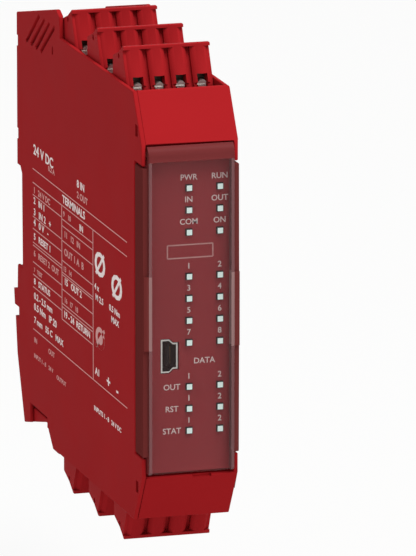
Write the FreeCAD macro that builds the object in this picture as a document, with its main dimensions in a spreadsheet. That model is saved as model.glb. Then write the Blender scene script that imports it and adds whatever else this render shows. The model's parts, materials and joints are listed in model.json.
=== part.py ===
"""Modular safety controller: a 22.5 mm wide module for a 35 mm mounting rail.

Frame: +X to the right, -Y to the front, +Z up, millimetres. The origin lies in the plane where the
rail touches the housing, at the middle of the module's width and of the rail's height. Sub-parts are
drawn about the housing's mid-height and then lifted by rail_drop.
"""
import FreeCAD, Part
import os
import re

import Sketcher

DIMS = {
    # Housing shell
    "module_width": 22.5,
    "body_height": 98.8,
    "front_reach": 105.5,
    "wall": 1.0,
    "kink_half": 38.2,
    "slant_depth": 7.0,
    "trough_depth": 13.4,
    "block_front": 35.2,
    "block_nose_drop": 1.3,
    "block_nose_back": 0.4,
    "crest_back": 34.6,
    "crest_top": 55.5,
    "rear_top": 48.2,
    "ear_front": 38.0,
    "ear_rise": 4.0,
    "foot_reach": 3.2,
    "shin_low": 34.0,
    "shin_reach": 0.7,
    "toe_low": 49.3,
    "toe_set": 5.4,
    "arch_rear": 20.8,
    "arch_front": 26.5,
    "arch_level": 45.7,
    "heel_rear": 30.4,
    "heel_low": 49.8,
    # Rail seat and bus recess
    "rail_height": 35.0,
    "rail_drop": 0.9,
    "rail_play": 0.3,
    "recess_height": 22.8,
    "recess_depth": 4.4,
    "recess_chamfer": 1.5,
    "hook_width": 16.0,
    "hook_gap": 1.4,
    "hook_thick": 1.8,
    "hook_rise": 3.8,
    "hook_lip": 2.0,
    # Vents and latch notches in the side walls
    "vent_tilt": 35.0,
    "vent_wide": 0.9,
    "vent_length": 14.5,
    "vent_pitch": 4.3,
    "vent_back": 8.8,
    "vent_low": 42.5,
    "latch_tall": 2.7,
    "latch_wide": 2.0,
    "latch_level": 41.0,
    "latch_set": 2.9,
    "latch_deep": 2.5,
    "notch_deep": 1.2,
    "pocket_set": 5.2,
    "pocket_short": 0.8,
    "pocket_rise": 2.2,
    # Front cover
    "cover_proud": 1.4,
    "cover_thick": 1.7,
    "cover_width": 20.0,
    "cover_gap": 0.9,
    "cover_bevel": 0.6,
    "flange_short": 5.0,
    "flange_deep": 5.5,
    "flange_thick": 0.75,
    "grip_half": 8.5,
    "notch_play": 0.5,
    "hinge_drop": 2.2,
    "hinge_set": 0.75,
    "hinge_pin_r": 0.5,
    "hinge_play": 0.05,
    "hinge_pin_reach": 0.5,
    "hinge_end_play": 0.2,
    "hinge_lug": 1.0,
    "swing_play": 0.2,
    "thumb_wide": 4.5,
    "thumb_deep": 0.6,
    "thumb_reach": 1.5,
    "thumb_centre": 2.8,
    # Front panel, lights and service socket
    "panel_set": 1.0,
    "panel_thick": 1.5,
    "panel_width": 19.8,
    "panel_head_gap": 3.6,
    "panel_foot_gap": 0.8,
    "window_width": 17.8,
    "window_short": 4.8,
    "lamp_side": 1.5,
    "lamp_pitch": 5.08,
    "lamp_column_gap": 7.2,
    "guide_play": 0.05,
    "guide_thick": 1.2,
    "pipe_proud": 0.55,
    "led_deep": 0.9,
    "led_side": 1.3,
    "front_board_thick": 1.2,
    "front_board_width": 18.0,
    "front_board_short": 4.2,
    "usb_wide": 7.7,
    "usb_narrow": 6.0,
    "usb_thick": 3.9,
    "usb_straight": 1.9,
    "usb_taper": 0.9,
    "usb_deep": 9.0,
    "usb_skin": 0.35,
    "usb_level": 10.6,
    "usb_play": 0.2,
    "usb_set": 0.5,
    "usb_tongue_thick": 0.9,
    "usb_contact_pitch": 0.8,
    # Boards and what they carry
    "board_thick": 1.6,
    "board_left": 8.0,
    "terminal_board_thick": 1.4,
    "terminal_board_play": 0.1,
    "logic_board_left": 3.0,
    "logic_board_thick": 1.2,
    "logic_board_half": 28.0,
    "logic_board_set": 15.5,
    "logic_board_rear": 40.0,
    "link_centre": 57.0,
    "link_deep": 6.0,
    "link_half": 12.0,
    "chip_side": 10.0,
    "chip_thick": 1.4,
    "chip_set": 25.5,
    "chip_level": 18.0,
    "can_r": 4.0,
    "can_tall": 12.0,
    "supply_row": 24.0,
    "can_level": 18.0,
    "choke_r": 4.5,
    "choke_waist_r": 3.0,
    "choke_tall": 7.0,
    "choke_flange": 1.2,
    "driver_long": 6.0,
    "driver_wide": 5.0,
    "driver_thick": 1.7,
    "driver_pitch": 9.0,
    # Bus socket in the rear recess
    "socket_width": 16.4,
    "socket_tall": 16.0,
    "socket_deep": 9.0,
    "socket_play": 0.1,
    "slot_pitch": 3.0,
    "slot_wide": 1.2,
    "slot_tall": 6.0,
    "slot_deep": 6.5,
    "blade_thick": 0.5,
    "blade_short": 1.0,
    # Rail catch and its spring
    "catch_width": 10.0,
    "catch_plate": 2.2,
    "catch_play": 0.3,
    "catch_nose_tall": 4.0,
    "catch_nose_reach": 3.0,
    "catch_lip_rise": 2.6,
    "catch_lip_ramp": 1.2,
    "catch_set": 1.0,
    "catch_tail": 1.2,
    "catch_slot_wide": 5.0,
    "catch_slot_tall": 1.6,
    "guide_lip": 0.9,
    "guide_lip_thick": 1.2,
    "catch_travel": 3.5,
    "spring_r": 1.5,
    "spring_wire_r": 0.3,
    "spring_pitch": 1.75,
    "spring_turns": 8.0,
    "spring_well_r": 2.2,
    "spring_tab": 2.0,
    # Plug-in screw terminals
    "pole_pitch": 5.0,
    "plug_width": 20.2,
    "rear_row": 43.9,
    "front_row_set": 19.2,
    "lip_rise": 7.7,
    "lip_thick": 0.8,
    "lip_overhang": 0.65,
    "lip_back": 0.3,
    "slope_mid": 3.6,
    "slope_mid_drop": 1.9,
    "plug_back": 8.2,
    "plug_back_drop": 3.5,
    "plug_foot": 3.8,
    "plug_foot_drop": 1.5,
    "nose_depth": 11.5,
    "rib_r": 2.3,
    "rib_sunk": 1.36,
    "groove_wide": 1.0,
    "groove_deep": 0.9,
    "dimple_r": 0.65,
    "dimple_deep": 0.6,
    "dimple_back": 3.2,
    "dimple_drop": 2.8,
    "window_side": 2.4,
    "window_top": 1.2,
    "screw_level": 1.2,
    "screw_head_r": 1.0,
    "screw_head_tall": 1.2,
    "screw_shank_r": 0.7,
    "screw_slot_wide": 0.35,
    "screw_slot_deep": 0.5,
    "screw_play": 0.08,
    "screw_set": 3.4,
    "clamp_width": 3.6,
    "clamp_front": 1.0,
    "clamp_back": 5.8,
    "clamp_top": 1.8,
    "clamp_low": 4.0,
    "clamp_skin": 0.7,
    "clamp_front_skin": 1.6,
    "clamp_play": 0.15,
    "wire_r": 1.5,
    "wire_back": 4.4,
    "header_width": 20.0,
    "header_base": 1.7,
    "header_skin": 1.3,
    "header_play": 0.3,
    "header_tall": 8.0,
    "pin_side": 1.0,
    "pin_back": 2.5,
    "pin_top": 2.0,
    "pin_play": 0.2,
}

POLES = (-1.5, -0.5, 0.5, 1.5)
LAMP_ROWS = (5.5, 4.5, 3.5, 1.5, 0.5, -0.5, -1.5, -3.5, -4.5, -5.5)
ROWS = {"rear": 0, "middle": 1, "front": 2}
BEYOND = "body_height"

# Derived places, as expressions of the driving dimensions
HALF_WIDTH = "module_width / 2"
INNER = "(module_width / 2 - wall)"
DECK = "body_height / 2"
TROUGH_FLOOR = "(body_height / 2 - trough_depth)"
ROW_PITCH = "((front_reach - front_row_set - rear_row) / 2)"
RAIL_TOP = "(rail_height / 2 - rail_drop)"
RAIL_LOW = "(-rail_height / 2 - rail_drop)"
RECESS_TOP = "(recess_height / 2 - rail_drop)"
RECESS_LOW = "(-recess_height / 2 - rail_drop)"
SLANT_TOP = "(slant_depth - front_reach)"
TROUGH_FRONT = "(slant_depth + wall - front_reach)"
PANEL_FACE = "(panel_set - front_reach)"
PANEL_BACK = "(panel_set + panel_thick - front_reach)"
FRONT_WALL_BACK = "(panel_set + panel_thick + wall - front_reach)"
GUIDE_BACK = "(panel_set + panel_thick + guide_thick - front_reach)"
LED_BACK = "(panel_set + panel_thick + guide_thick + led_deep - front_reach)"
FRONT_BOARD_BACK = "(panel_set + panel_thick + guide_thick + led_deep + front_board_thick - front_reach)"
COVER_FRONT = "(-cover_proud - front_reach)"
COVER_BACK = "(cover_thick - cover_proud - front_reach)"
COVER_HALF = "(kink_half - cover_gap)"
FLANGE_HALF = "(kink_half - flange_short)"
HINGE_LEVEL = "(kink_half - hinge_drop)"
PANEL_TOP = "(kink_half - panel_head_gap)"
PANEL_LOW = "(kink_half - panel_foot_gap)"
WINDOW_HALF = "(kink_half - window_short)"
FRONT_BOARD_HALF = "(kink_half - front_board_short)"
FLANGE_BACK = "(flange_deep - front_reach)"
NOTCH_BACK = "(flange_deep + notch_play - front_reach)"
HINGE_DEPTH = "(hinge_set - front_reach)"
SWING = "(cover_proud + hinge_set)"
BOARD_FACE = "(board_thick - board_left)"
LOGIC_FRONT = "(front_reach - logic_board_set)"
CHIP_ROW = "(front_reach - chip_set)"
TERMINAL_BOARD_TOP = f"({TROUGH_FLOOR} - wall - terminal_board_play)"
TERMINAL_BOARD_LOW = f"({TROUGH_FLOOR} - wall - terminal_board_play - terminal_board_thick)"
SOCKET_FRONT = "(-recess_depth - socket_deep)"
CATCH_BACK = "(-catch_set)"
CATCH_FACE = "(-catch_set - catch_plate)"
CHANNEL = "(-catch_set - catch_plate - catch_play)"
SPRING_AXIS = "(-catch_set - catch_plate - catch_play - spring_well_r)"
WELL_FRONT = "(-catch_set - catch_plate - catch_play - 2 * spring_well_r)"
CATCH_TOP = f"({RAIL_LOW} - rail_play - catch_play)"
SPRING_TOP = f"({CATCH_TOP} - catch_nose_tall - spring_tab)"
SPRING_LOW = f"({SPRING_TOP} - spring_pitch * spring_turns)"
FLOOR_DROP = f"({DECK} - {TROUGH_FLOOR})"
PLUG_LEAN = "atan((plug_foot + lip_back) / (lip_rise - lip_thick + plug_foot_drop))"

doc = FreeCAD.newDocument("modular_safety_controller")
sheet = doc.addObject("Spreadsheet::Sheet", "dims")
for row, (alias, size) in enumerate(DIMS.items(), start=1):
    sheet.set(f"A{row}", alias)
    sheet.set(f"B{row}", str(size))
    sheet.setAlias(f"B{row}", alias)
doc.recompute()

ALIASES = re.compile(r"\b(" + "|".join(DIMS) + r")\b")
nodes = []


def bind(item, path, text):
    """Tie one property of an item to an expression of the sheet's dimensions."""
    item.setExpression(path, ALIASES.sub(r"dims.\1", text))


def number(text):
    """Present value of an expression of the sheet's dimensions."""
    return float(sheet.evalExpression(text))


def block(x, y, z):
    """Box between a low and a high value along each axis."""
    solid = doc.addObject("Part::Box", "block")
    for size, axis, (low, high) in (("Length", "x", x), ("Width", "y", y), ("Height", "z", z)):
        bind(solid, size, f"({high}) - ({low})")
        bind(solid, f"Placement.Base.{axis}", low)
    return solid


def middle(centre, width):
    """Low and high value of a span about its centre."""
    return f"({centre}) - ({width}) / 2", f"({centre}) + ({width}) / 2"


TURNS = {
    "x": FreeCAD.Rotation(FreeCAD.Vector(0, 1, 0), 90),
    "y": FreeCAD.Rotation(FreeCAD.Vector(1, 0, 0), -90),
    "z": FreeCAD.Rotation(),
}


def rod(axis, start, radius, length):
    """Cylinder from a start point along one axis."""
    solid = doc.addObject("Part::Cylinder", "rod")
    solid.Placement = FreeCAD.Placement(FreeCAD.Vector(), TURNS[axis])
    bind(solid, "Radius", radius)
    bind(solid, "Height", length)
    for name, text in zip("xyz", start):
        bind(solid, f"Placement.Base.{name}", text)
    return solid


def prism(points, low, high, plane="YZ_Plane"):
    """Body padded from a polygon: side outlines along X, or front outlines (XZ_Plane) along Y."""
    body = doc.addObject("PartDesign::Body", "prism")
    sketch = body.newObject("Sketcher::SketchObject", "outline")
    support = next(item for item in body.Origin.OriginFeatures if item.Role == plane)
    sketch.AttachmentSupport = (support, [""])
    sketch.MapMode = "FlatFace"
    bind(sketch, "AttachmentOffset.Base.z", low if plane == "YZ_Plane" else f"-({high})")
    corners = [FreeCAD.Vector(number(across), number(up)) for across, up in points]
    count = len(corners)
    for index, corner in enumerate(corners):
        sketch.addGeometry(Part.LineSegment(corners[index - 1], corner), False)
    for index in range(count):
        sketch.addConstraint(Sketcher.Constraint("Coincident", index, 2, (index + 1) % count, 1))
    for index, (across, up) in enumerate(points):
        for kind, text in (("DistanceX", across), ("DistanceY", up)):
            tie = sketch.addConstraint(Sketcher.Constraint(kind, index, 2, number(text)))
            bind(sketch, f"Constraints[{tie}]", text)
    pad = body.newObject("PartDesign::Pad", "pad")
    pad.Profile = sketch
    bind(pad, "Length", f"({high}) - ({low})")
    return body


def fuse(*solids):
    """One solid of several that meet."""
    if len(solids) == 1:
        return solids[0]
    joined = doc.addObject("Part::MultiFuse", "fuse")
    joined.Shapes = list(solids)
    joined.Refine = True
    return joined


def cut(base, *tools):
    """A solid less one or more tools."""
    rest = doc.addObject("Part::Cut", "cut")
    rest.Base = base
    rest.Tool = fuse(*tools)
    rest.Refine = True
    return rest


def group(*solids):
    """Several separate solids kept together."""
    together = doc.addObject("Part::Compound", "group")
    together.Links = list(solids)
    return together


def node(label, item):
    """Name a finished sub-part and lift it from the housing's frame to the rail's."""
    item.Label = label
    own = [text for path, text in item.ExpressionEngine if path.endswith("Placement.Base.z")]
    lift = " + ".join(own + ["dims.rail_drop"])
    item.setExpression("Placement.Base.z", lift)
    nodes.append(item)
    return item


def side_outline():
    """Outline of a side wall, from the rear top corner forward and round."""
    return [
        ("0", "rear_top"),
        ("-crest_back", "crest_top"),
        ("block_nose_back - ear_front", "crest_top - block_nose_drop"),
        ("-ear_front", DECK),
        (SLANT_TOP, DECK),
        ("-front_reach", "kink_half"),
        ("-front_reach", "-kink_half"),
        (SLANT_TOP, f"-{DECK}"),
        ("-block_front", f"-{DECK}"),
    ] + rear_outline()


def rear_outline():
    """Heel, arch, toe, rail seat and bus recess, shared by the walls and the band between them."""
    return [
        ("-block_front", "-heel_low"),
        ("-heel_rear", "-heel_low"),
        ("-arch_front", "-arch_level"),
        ("-arch_rear", "-arch_level"),
        ("-toe_set", "-toe_low"),
        ("shin_reach", "-shin_low"),
        ("foot_reach", f"{RAIL_LOW} - rail_play"),
        ("0", f"{RAIL_LOW} - rail_play"),
        ("0", RECESS_LOW),
        ("-recess_depth", RECESS_LOW),
        ("-recess_depth", RECESS_TOP),
        ("-recess_depth + recess_chamfer", f"{RECESS_TOP} + recess_chamfer"),
        ("0", f"{RECESS_TOP} + recess_chamfer"),
    ]


def band_outline():
    """Outline of the band between the walls, lower than their ears, with a trough above and below."""
    return [
        ("0", "rear_top - ear_rise"),
        ("-block_front", "crest_top - ear_rise"),
        ("-block_front", TROUGH_FLOOR),
        (TROUGH_FRONT, TROUGH_FLOOR),
        (TROUGH_FRONT, DECK),
        (SLANT_TOP, DECK),
        ("-front_reach", "kink_half"),
        ("-front_reach", "-kink_half"),
        (SLANT_TOP, f"-{DECK}"),
        (TROUGH_FRONT, f"-{DECK}"),
        (TROUGH_FRONT, f"-{TROUGH_FLOOR}"),
        ("-block_front", f"-{TROUGH_FLOOR}"),
    ] + rear_outline()


def hollow_outline():
    """Inside of the band: electronics space, both front corners and the rear block."""
    ceiling = f"({TROUGH_FLOOR} - wall)"
    rear_floor = "(-arch_level + wall)"
    return [
        ("-wall", "rear_top - ear_rise - 2 * wall"),
        ("wall - block_front", "crest_top - ear_rise - 2 * wall"),
        ("wall - block_front", ceiling),
        (SLANT_TOP, ceiling),
        (SLANT_TOP, f"{DECK} - 3 * wall"),
        (f"{FRONT_WALL_BACK} + wall", "kink_half + 3 * wall"),
        (f"{FRONT_WALL_BACK} + wall", f"{WINDOW_HALF} + wall"),
        (FRONT_WALL_BACK, f"{WINDOW_HALF} + wall"),
        (FRONT_WALL_BACK, "-kink_half - 3 * wall"),
        (SLANT_TOP, f"-{DECK} + 3 * wall"),
        (SLANT_TOP, f"-{ceiling}"),
        ("wall - block_front", f"-{ceiling}"),
        ("wall - block_front", rear_floor),
        (f"{WELL_FRONT} - wall", rear_floor),
        (f"{WELL_FRONT} - wall", f"{RECESS_LOW} - wall"),
        ("-recess_depth - wall", f"{RECESS_LOW} - wall"),
        ("-recess_depth - wall", f"{RECESS_TOP} + recess_chamfer + wall"),
        ("-wall", f"{RECESS_TOP} + recess_chamfer + wall"),
    ]


def vent_slots(low, high):
    """Four slanted vent slots and a short upright one behind the upper plugs."""
    slots = []
    for place in range(4):
        slot = doc.addObject("Part::Box", "vent")
        bind(slot, "Length", f"({high}) - ({low})")
        bind(slot, "Width", "vent_length")
        bind(slot, "Height", "vent_wide")
        bind(slot, "Placement.Base.x", low)
        bind(slot, "Placement.Base.y", f"-vent_back - {place} * vent_pitch - vent_length * cos(vent_tilt)")
        bind(slot, "Placement.Base.z", "vent_low + vent_length * sin(vent_tilt)")
        bind(slot, "Placement.Rotation", "create(<<rotation>>; create(<<vector>>; 1; 0; 0); -vent_tilt)")
        slots.append(slot)
    upright = block((low, high), ("-crest_back + 3 * vent_wide", "-crest_back + 4 * vent_wide"),
                    ("vent_low + 2 * vent_wide", "vent_low + 4 * vent_wide"))
    return slots + [upright]


def wall_cuts(low, high, inward):
    """What is taken out of a side wall: cover notch, hinge hole, foot pocket, vents, latch slots, notches."""
    through = (low, high)
    notch = block(through, (f"-{BEYOND} - front_reach", NOTCH_BACK),
                  (f"-{FLANGE_HALF} - notch_play", f"{FLANGE_HALF} + notch_play"))
    hole_depth = "(hinge_pin_reach + hinge_end_play)"
    hole_start = (f"({inward}) * {INNER} - {hole_depth}", HINGE_DEPTH, HINGE_LEVEL)
    hole = rod("x", hole_start, "hinge_pin_r + hinge_play", f"2 * {hole_depth}")
    latches = []
    for side in ("", "-"):
        latches.append(block(through, middle(f"{SLANT_TOP} - latch_set", "latch_wide"),
                             middle(f"{side}latch_level", "latch_tall")))
    for level in ("latch_level + wall / 2", f"{RAIL_TOP} + latch_tall", f"{RAIL_LOW} - 2 * latch_tall"):
        latches.append(block(through, ("-notch_deep", "2 * notch_deep + foot_reach"),
                             middle(level, "latch_tall")))
    pocket = block(through, ("pocket_short - arch_front", "-toe_set - pocket_set"),
                   (f"-{BEYOND}", "pocket_rise - arch_level"))
    return [notch, hole, pocket] + latches + vent_slots(low, high)


def housing_body():
    """Right wall and the band that runs round the module, one moulding open to the left."""
    band = prism(band_outline(), f"-{INNER}", INNER)
    hollow = prism(hollow_outline(), f"-{INNER} - wall", INNER)
    window = block(middle("0", "window_width"), (f"{PANEL_BACK} - wall", f"{FRONT_WALL_BACK} + wall"),
                   (f"-{WINDOW_HALF}", WINDOW_HALF))
    shell = cut(band, hollow, window)
    cheeks = []
    for low, high in ((f"-{INNER}", f"wall - {INNER}"), (f"{INNER} - wall", INNER)):
        cheeks.append(block((low, high), (PANEL_BACK, f"{NOTCH_BACK} + wall"),
                            (f"-{TROUGH_FLOOR}", TROUGH_FLOOR)))
    right_wall = cut(prism(side_outline(), INNER, HALF_WIDTH), *wall_cuts(INNER, HALF_WIDTH, "1"))
    hook = prism([
        ("-wall / 2", f"{RAIL_TOP} + rail_play"),
        ("hook_gap", f"{RAIL_TOP} + rail_play"),
        ("hook_gap", f"{RAIL_TOP} - hook_lip"),
        ("hook_gap + hook_thick", f"{RAIL_TOP} - hook_lip + rail_play"),
        ("hook_gap + hook_thick", f"{RAIL_TOP} + hook_rise - hook_thick / 2"),
        ("hook_gap", f"{RAIL_TOP} + hook_rise"),
        ("-wall / 2", f"{RAIL_TOP} + hook_rise"),
    ], "-hook_width / 2", "hook_width / 2")
    moulding = fuse(shell, right_wall, hook, *cheeks)

    ahead = f"-{BEYOND} - front_reach"
    seat_top = f"{HINGE_LEVEL} + {SWING} + swing_play"
    panel_seat = block((f"-{INNER}", INNER), (ahead, PANEL_BACK), ("-kink_half", seat_top))
    swing_seat = block((f"-{INNER}", INNER), (ahead, f"{HINGE_DEPTH} + {SWING} + swing_play"),
                       (f"{HINGE_LEVEL} - hinge_pin_r", seat_top))
    thumb = block(middle("thumb_centre", "thumb_wide"), (ahead, "thumb_reach - front_reach"),
                  ("-kink_half - thumb_deep", "wall - kink_half"))
    socket_window = block(middle("0", "socket_width + 2 * socket_play"),
                          ("-recess_depth - 2 * wall", "-recess_depth + wall"),
                          middle("-rail_drop", "socket_tall + 2 * socket_play"))
    channel = block(middle("0", "catch_width + 2 * catch_play"), (CHANNEL, BEYOND),
                    (f"-{BEYOND}", f"{RAIL_LOW} - rail_play"))
    well = block(middle("0", "2 * spring_well_r"), (WELL_FRONT, f"{CHANNEL} + wall"),
                 (SPRING_LOW, f"{CATCH_TOP} - catch_nose_tall + catch_play"))
    pin_slots = []
    for side in ("", "-"):
        for place in ROWS.values():
            depth = f"-rear_row - {place} * {ROW_PITCH} + pin_back"
            pin_slots.append(block(middle("0", "header_width - 2 * header_skin"),
                                   middle(depth, "pin_side + 2 * pin_play"),
                                   middle(f"{side}({TROUGH_FLOOR} - wall / 2)", "2 * wall")))
    latch_pockets = []
    for level in ("latch_level", "-latch_level"):
        for across in ((f"-{INNER}", f"latch_deep - {INNER}"), (f"{INNER} - latch_deep", INNER)):
            latch_pockets.append(block(across, middle(f"{SLANT_TOP} - latch_set", "latch_wide"),
                                       middle(level, "latch_tall")))
    carved = cut(moulding, panel_seat, swing_seat, thumb, socket_window, channel, well,
                 *pin_slots, *latch_pockets)

    guide_lips = []
    edge = "(catch_width / 2 + catch_play)"
    for low, high in ((f"-{edge} - wall", f"guide_lip - {edge}"), (f"{edge} - guide_lip", f"{edge} + wall")):
        guide_lips.append(block((low, high), (f"{CATCH_BACK} + catch_play",
                                              f"{CATCH_BACK} + catch_play + guide_lip_thick"),
                                ("-arch_level + 2 * wall", f"{SPRING_TOP} - catch_travel - catch_play")))
    return node("housing_body", fuse(carved, *guide_lips))


def side_cover():
    """Left wall, a flat moulding that closes the housing."""
    plate = prism(side_outline(), f"-{HALF_WIDTH}", f"-{INNER}")
    return node("side_cover", cut(plate, *wall_cuts(f"-{HALF_WIDTH}", f"-{INNER}", "-1")))


def front_cover():
    """Smoke-tinted lid with side flanges, hinged on two pins, its upper end round about them."""
    plate = prism([
        (COVER_BACK, f"{HINGE_LEVEL} + sqrt({SWING}^2 - ({SWING} - cover_thick)^2)"),
        *[(f"{HINGE_DEPTH} - {SWING} * cos({angle})", f"{HINGE_LEVEL} + {SWING} * sin({angle})")
          for angle in (60, 40, 20, 0)],
        (COVER_FRONT, f"cover_bevel - {COVER_HALF}"),
        (f"{COVER_FRONT} + cover_bevel", f"-{COVER_HALF}"),
        (COVER_BACK, f"-{COVER_HALF}"),
    ], "-cover_width / 2", "cover_width / 2")
    pieces = [plate]
    for side in (-1, 1):
        outer = f"{side} * {HALF_WIDTH}"
        inner = f"{side} * ({HALF_WIDTH} - flange_thick)"
        edge = f"{side} * cover_width / 2"
        span = (outer, inner) if side < 0 else (inner, outer)
        pieces.append(block(span, (COVER_BACK, FLANGE_BACK), (f"-{FLANGE_HALF}", FLANGE_HALF)))
        corner = prism([
            (edge, f"-{FLANGE_HALF}"),
            (outer, f"-{FLANGE_HALF}"),
            (outer, FLANGE_HALF),
            (edge, FLANGE_HALF),
        ], f"{COVER_FRONT} + cover_bevel", COVER_BACK, "XZ_Plane")
        pieces.append(corner)
        side_span = (outer, edge) if side < 0 else (edge, outer)
        pieces.append(block(side_span, (COVER_FRONT, COVER_BACK), ("-grip_half", "grip_half")))
        lug_span = (edge, f"({edge}) + hinge_lug") if side < 0 else (f"({edge}) - hinge_lug", edge)
        lug_height = "2 * (hinge_pin_r + guide_play)"
        pieces.append(block(lug_span, (COVER_BACK, f"{HINGE_DEPTH} + hinge_pin_r + hinge_play"),
                            middle(HINGE_LEVEL, lug_height)))
        pin_length = f"({INNER} - cover_width / 2 + hinge_pin_reach)"
        pin_start = f"({edge}) - {pin_length}" if side < 0 else edge
        pieces.append(rod("x", (pin_start, HINGE_DEPTH, HINGE_LEVEL), "hinge_pin_r", pin_length))
    return node("front_cover", fuse(*pieces))


def lamp_places():
    """Centres of the indicator windows: two columns, with two empty rows."""
    return [(column, f"{place} * lamp_pitch") for place in LAMP_ROWS for column in ("0", "lamp_column_gap")]


def usb_outline(shrink):
    """Outline of the service socket seen from the front, its wide side on the main board."""
    wide = f"(usb_wide / 2 - {shrink})"
    narrow = f"(usb_narrow / 2 - {shrink})"
    left = f"({BOARD_FACE} + {shrink})"
    right = f"({BOARD_FACE} + usb_thick - {shrink})"
    bend = f"({BOARD_FACE} + usb_straight)"
    upper = [(left, wide), (bend, wide), (f"{bend} + usb_taper", narrow), (right, narrow)]
    lower = [(across, f"-{up}") for across, up in reversed(upper)]
    return [(across, f"{up} - usb_level") for across, up in upper + lower]


def front_group():
    """Front panel, light guide, indicators, their board and the service socket."""
    plate = block(middle("0", "panel_width"), (PANEL_FACE, PANEL_BACK), (f"-{PANEL_LOW}", PANEL_TOP))
    holes = [block(middle(across, "lamp_side"), (f"{PANEL_FACE} - wall", f"{PANEL_BACK} + wall"),
                   middle(up, "lamp_side")) for across, up in lamp_places()]
    usb_hole = prism(usb_outline("-usb_play"), f"{PANEL_FACE} - wall", f"{PANEL_BACK} + wall", "XZ_Plane")
    node("front_panel", cut(plate, usb_hole, *holes))

    pipe = "lamp_side - 2 * guide_play"
    base = block(("-lamp_side", "lamp_column_gap + lamp_side"), (PANEL_BACK, GUIDE_BACK),
                 ("-5.5 * lamp_pitch - lamp_side", "5.5 * lamp_pitch + lamp_side"))
    pipes = [block(middle(across, pipe), (f"{PANEL_FACE} - pipe_proud", GUIDE_BACK), middle(up, pipe))
             for across, up in lamp_places()]
    node("light_guide", fuse(base, *pipes))
    node("indicator_leds", group(*[
        block(middle(across, "led_side"), (GUIDE_BACK, LED_BACK), middle(up, "led_side"))
        for across, up in lamp_places()]))

    board = block(middle("0", "front_board_width"), (LED_BACK, FRONT_BOARD_BACK),
                  (f"-{FRONT_BOARD_HALF}", FRONT_BOARD_HALF))
    gap = prism(usb_outline("-usb_play"), f"{LED_BACK} - wall", f"{FRONT_BOARD_BACK} + wall", "XZ_Plane")
    node("front_board", cut(board, gap))

    usb_front = f"({PANEL_FACE} + usb_set)"
    usb_back = f"({PANEL_FACE} + usb_set + usb_deep)"
    can = prism(usb_outline("0"), usb_front, usb_back, "XZ_Plane")
    room = prism(usb_outline("usb_skin"), f"{usb_front} - wall", f"{usb_back} + wall", "XZ_Plane")
    node("usb_shell", cut(can, room))
    tongue_face = f"({BOARD_FACE} + usb_thick / 2 + usb_tongue_thick / 2)"
    stem = prism(usb_outline("usb_skin"), f"{usb_back} - usb_straight", usb_back, "XZ_Plane")
    tongue = block((f"{tongue_face} - usb_tongue_thick", tongue_face), (f"{usb_front} + wall", usb_back),
                   middle("-usb_level", "usb_narrow - wall"))
    node("usb_tongue", fuse(stem, tongue))
    strips = []
    for place in range(-2, 3):
        strips.append(block((tongue_face, f"{tongue_face} + usb_skin / 2"),
                            (f"{usb_front} + 1.5 * wall", f"{usb_back} - usb_straight"),
                            middle(f"{place} * usb_contact_pitch - usb_level", "usb_contact_pitch / 2")))
    node("usb_contacts", group(*strips))


def chip(level, face, thick, depth, length, width):
    """Flat chip body on a board that lies in the side view."""
    return block((face, f"{face} + {thick}"), middle(depth, length), middle(level, width))


def electronics():
    """Boards inside the housing and the main parts on them."""
    main = block(("-board_left", BOARD_FACE), (FRONT_BOARD_BACK, SOCKET_FRONT),
                 (f"-{TERMINAL_BOARD_LOW}", TERMINAL_BOARD_LOW))
    node("main_board", main)
    for label, side in (("upper_terminal_board", 1), ("lower_terminal_board", -1)):
        low, high = (TERMINAL_BOARD_LOW, TERMINAL_BOARD_TOP)
        span = (low, high) if side > 0 else (f"-{high}", f"-{low}")
        node(label, block((f"catch_play - {INNER}", f"{INNER} - catch_play"),
                          (f"{SLANT_TOP} + catch_play", "wall - block_front - catch_play"), span))
    node("logic_board", block(("logic_board_left", "logic_board_left + logic_board_thick"),
                              (f"-{LOGIC_FRONT}", "-logic_board_rear"),
                              ("-logic_board_half", "logic_board_half")))
    node("board_connector", block((BOARD_FACE, "logic_board_left"), middle("-link_centre", "link_deep"),
                                  ("-link_half", "link_half")))
    for label, side in (("processor_a", ""), ("processor_b", "-")):
        node(label, chip(f"{side}chip_level", BOARD_FACE, "chip_thick", f"-{CHIP_ROW}",
                         "chip_side", "chip_side"))

    cans = []
    for level in ("-can_level", "-can_level + 2.5 * can_r"):
        cans.append(rod("x", (BOARD_FACE, "-supply_row", level), "can_r", "can_tall"))
    node("supply_capacitors", group(*cans))
    waist = rod("x", (BOARD_FACE, "-supply_row", "can_level"), "choke_waist_r", "choke_tall")
    low_flange = rod("x", (BOARD_FACE, "-supply_row", "can_level"), "choke_r", "choke_flange")
    high_flange = rod("x", (f"{BOARD_FACE} + choke_tall - choke_flange", "-supply_row", "can_level"),
                      "choke_r", "choke_flange")
    node("supply_choke", fuse(waist, low_flange, high_flange))
    logic_face = "(logic_board_left + logic_board_thick)"
    node("output_drivers", group(*[
        chip(f"{place} * driver_pitch", logic_face, "driver_thick", f"-{CHIP_ROW}",
             "driver_long", "driver_wide")
        for place in POLES]))
    node("input_couplers", group(*[
        chip(f"{place} * driver_pitch", logic_face, "driver_thick", "-link_centre",
             "driver_long", "driver_wide")
        for place in POLES]))


def bus_socket():
    """Socket that takes the rail's bus connector, with its contact blades."""
    body = block(middle("0", "socket_width"), (SOCKET_FRONT, "-recess_depth"),
                 middle("-rail_drop", "socket_tall"))
    slots = []
    blades = []
    for place in range(-2, 3):
        across = f"{place} * slot_pitch"
        slots.append(block(middle(across, "slot_wide"), ("-recess_depth - slot_deep", "-recess_depth + wall"),
                           middle("-rail_drop", "slot_tall")))
        blades.append(block(middle(across, "blade_thick"),
                            ("-recess_depth - slot_deep", "-recess_depth - blade_short"),
                            middle("-rail_drop", "slot_tall - blade_short")))
    node("bus_socket", cut(body, *slots))
    node("bus_contacts", group(*blades))


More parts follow.
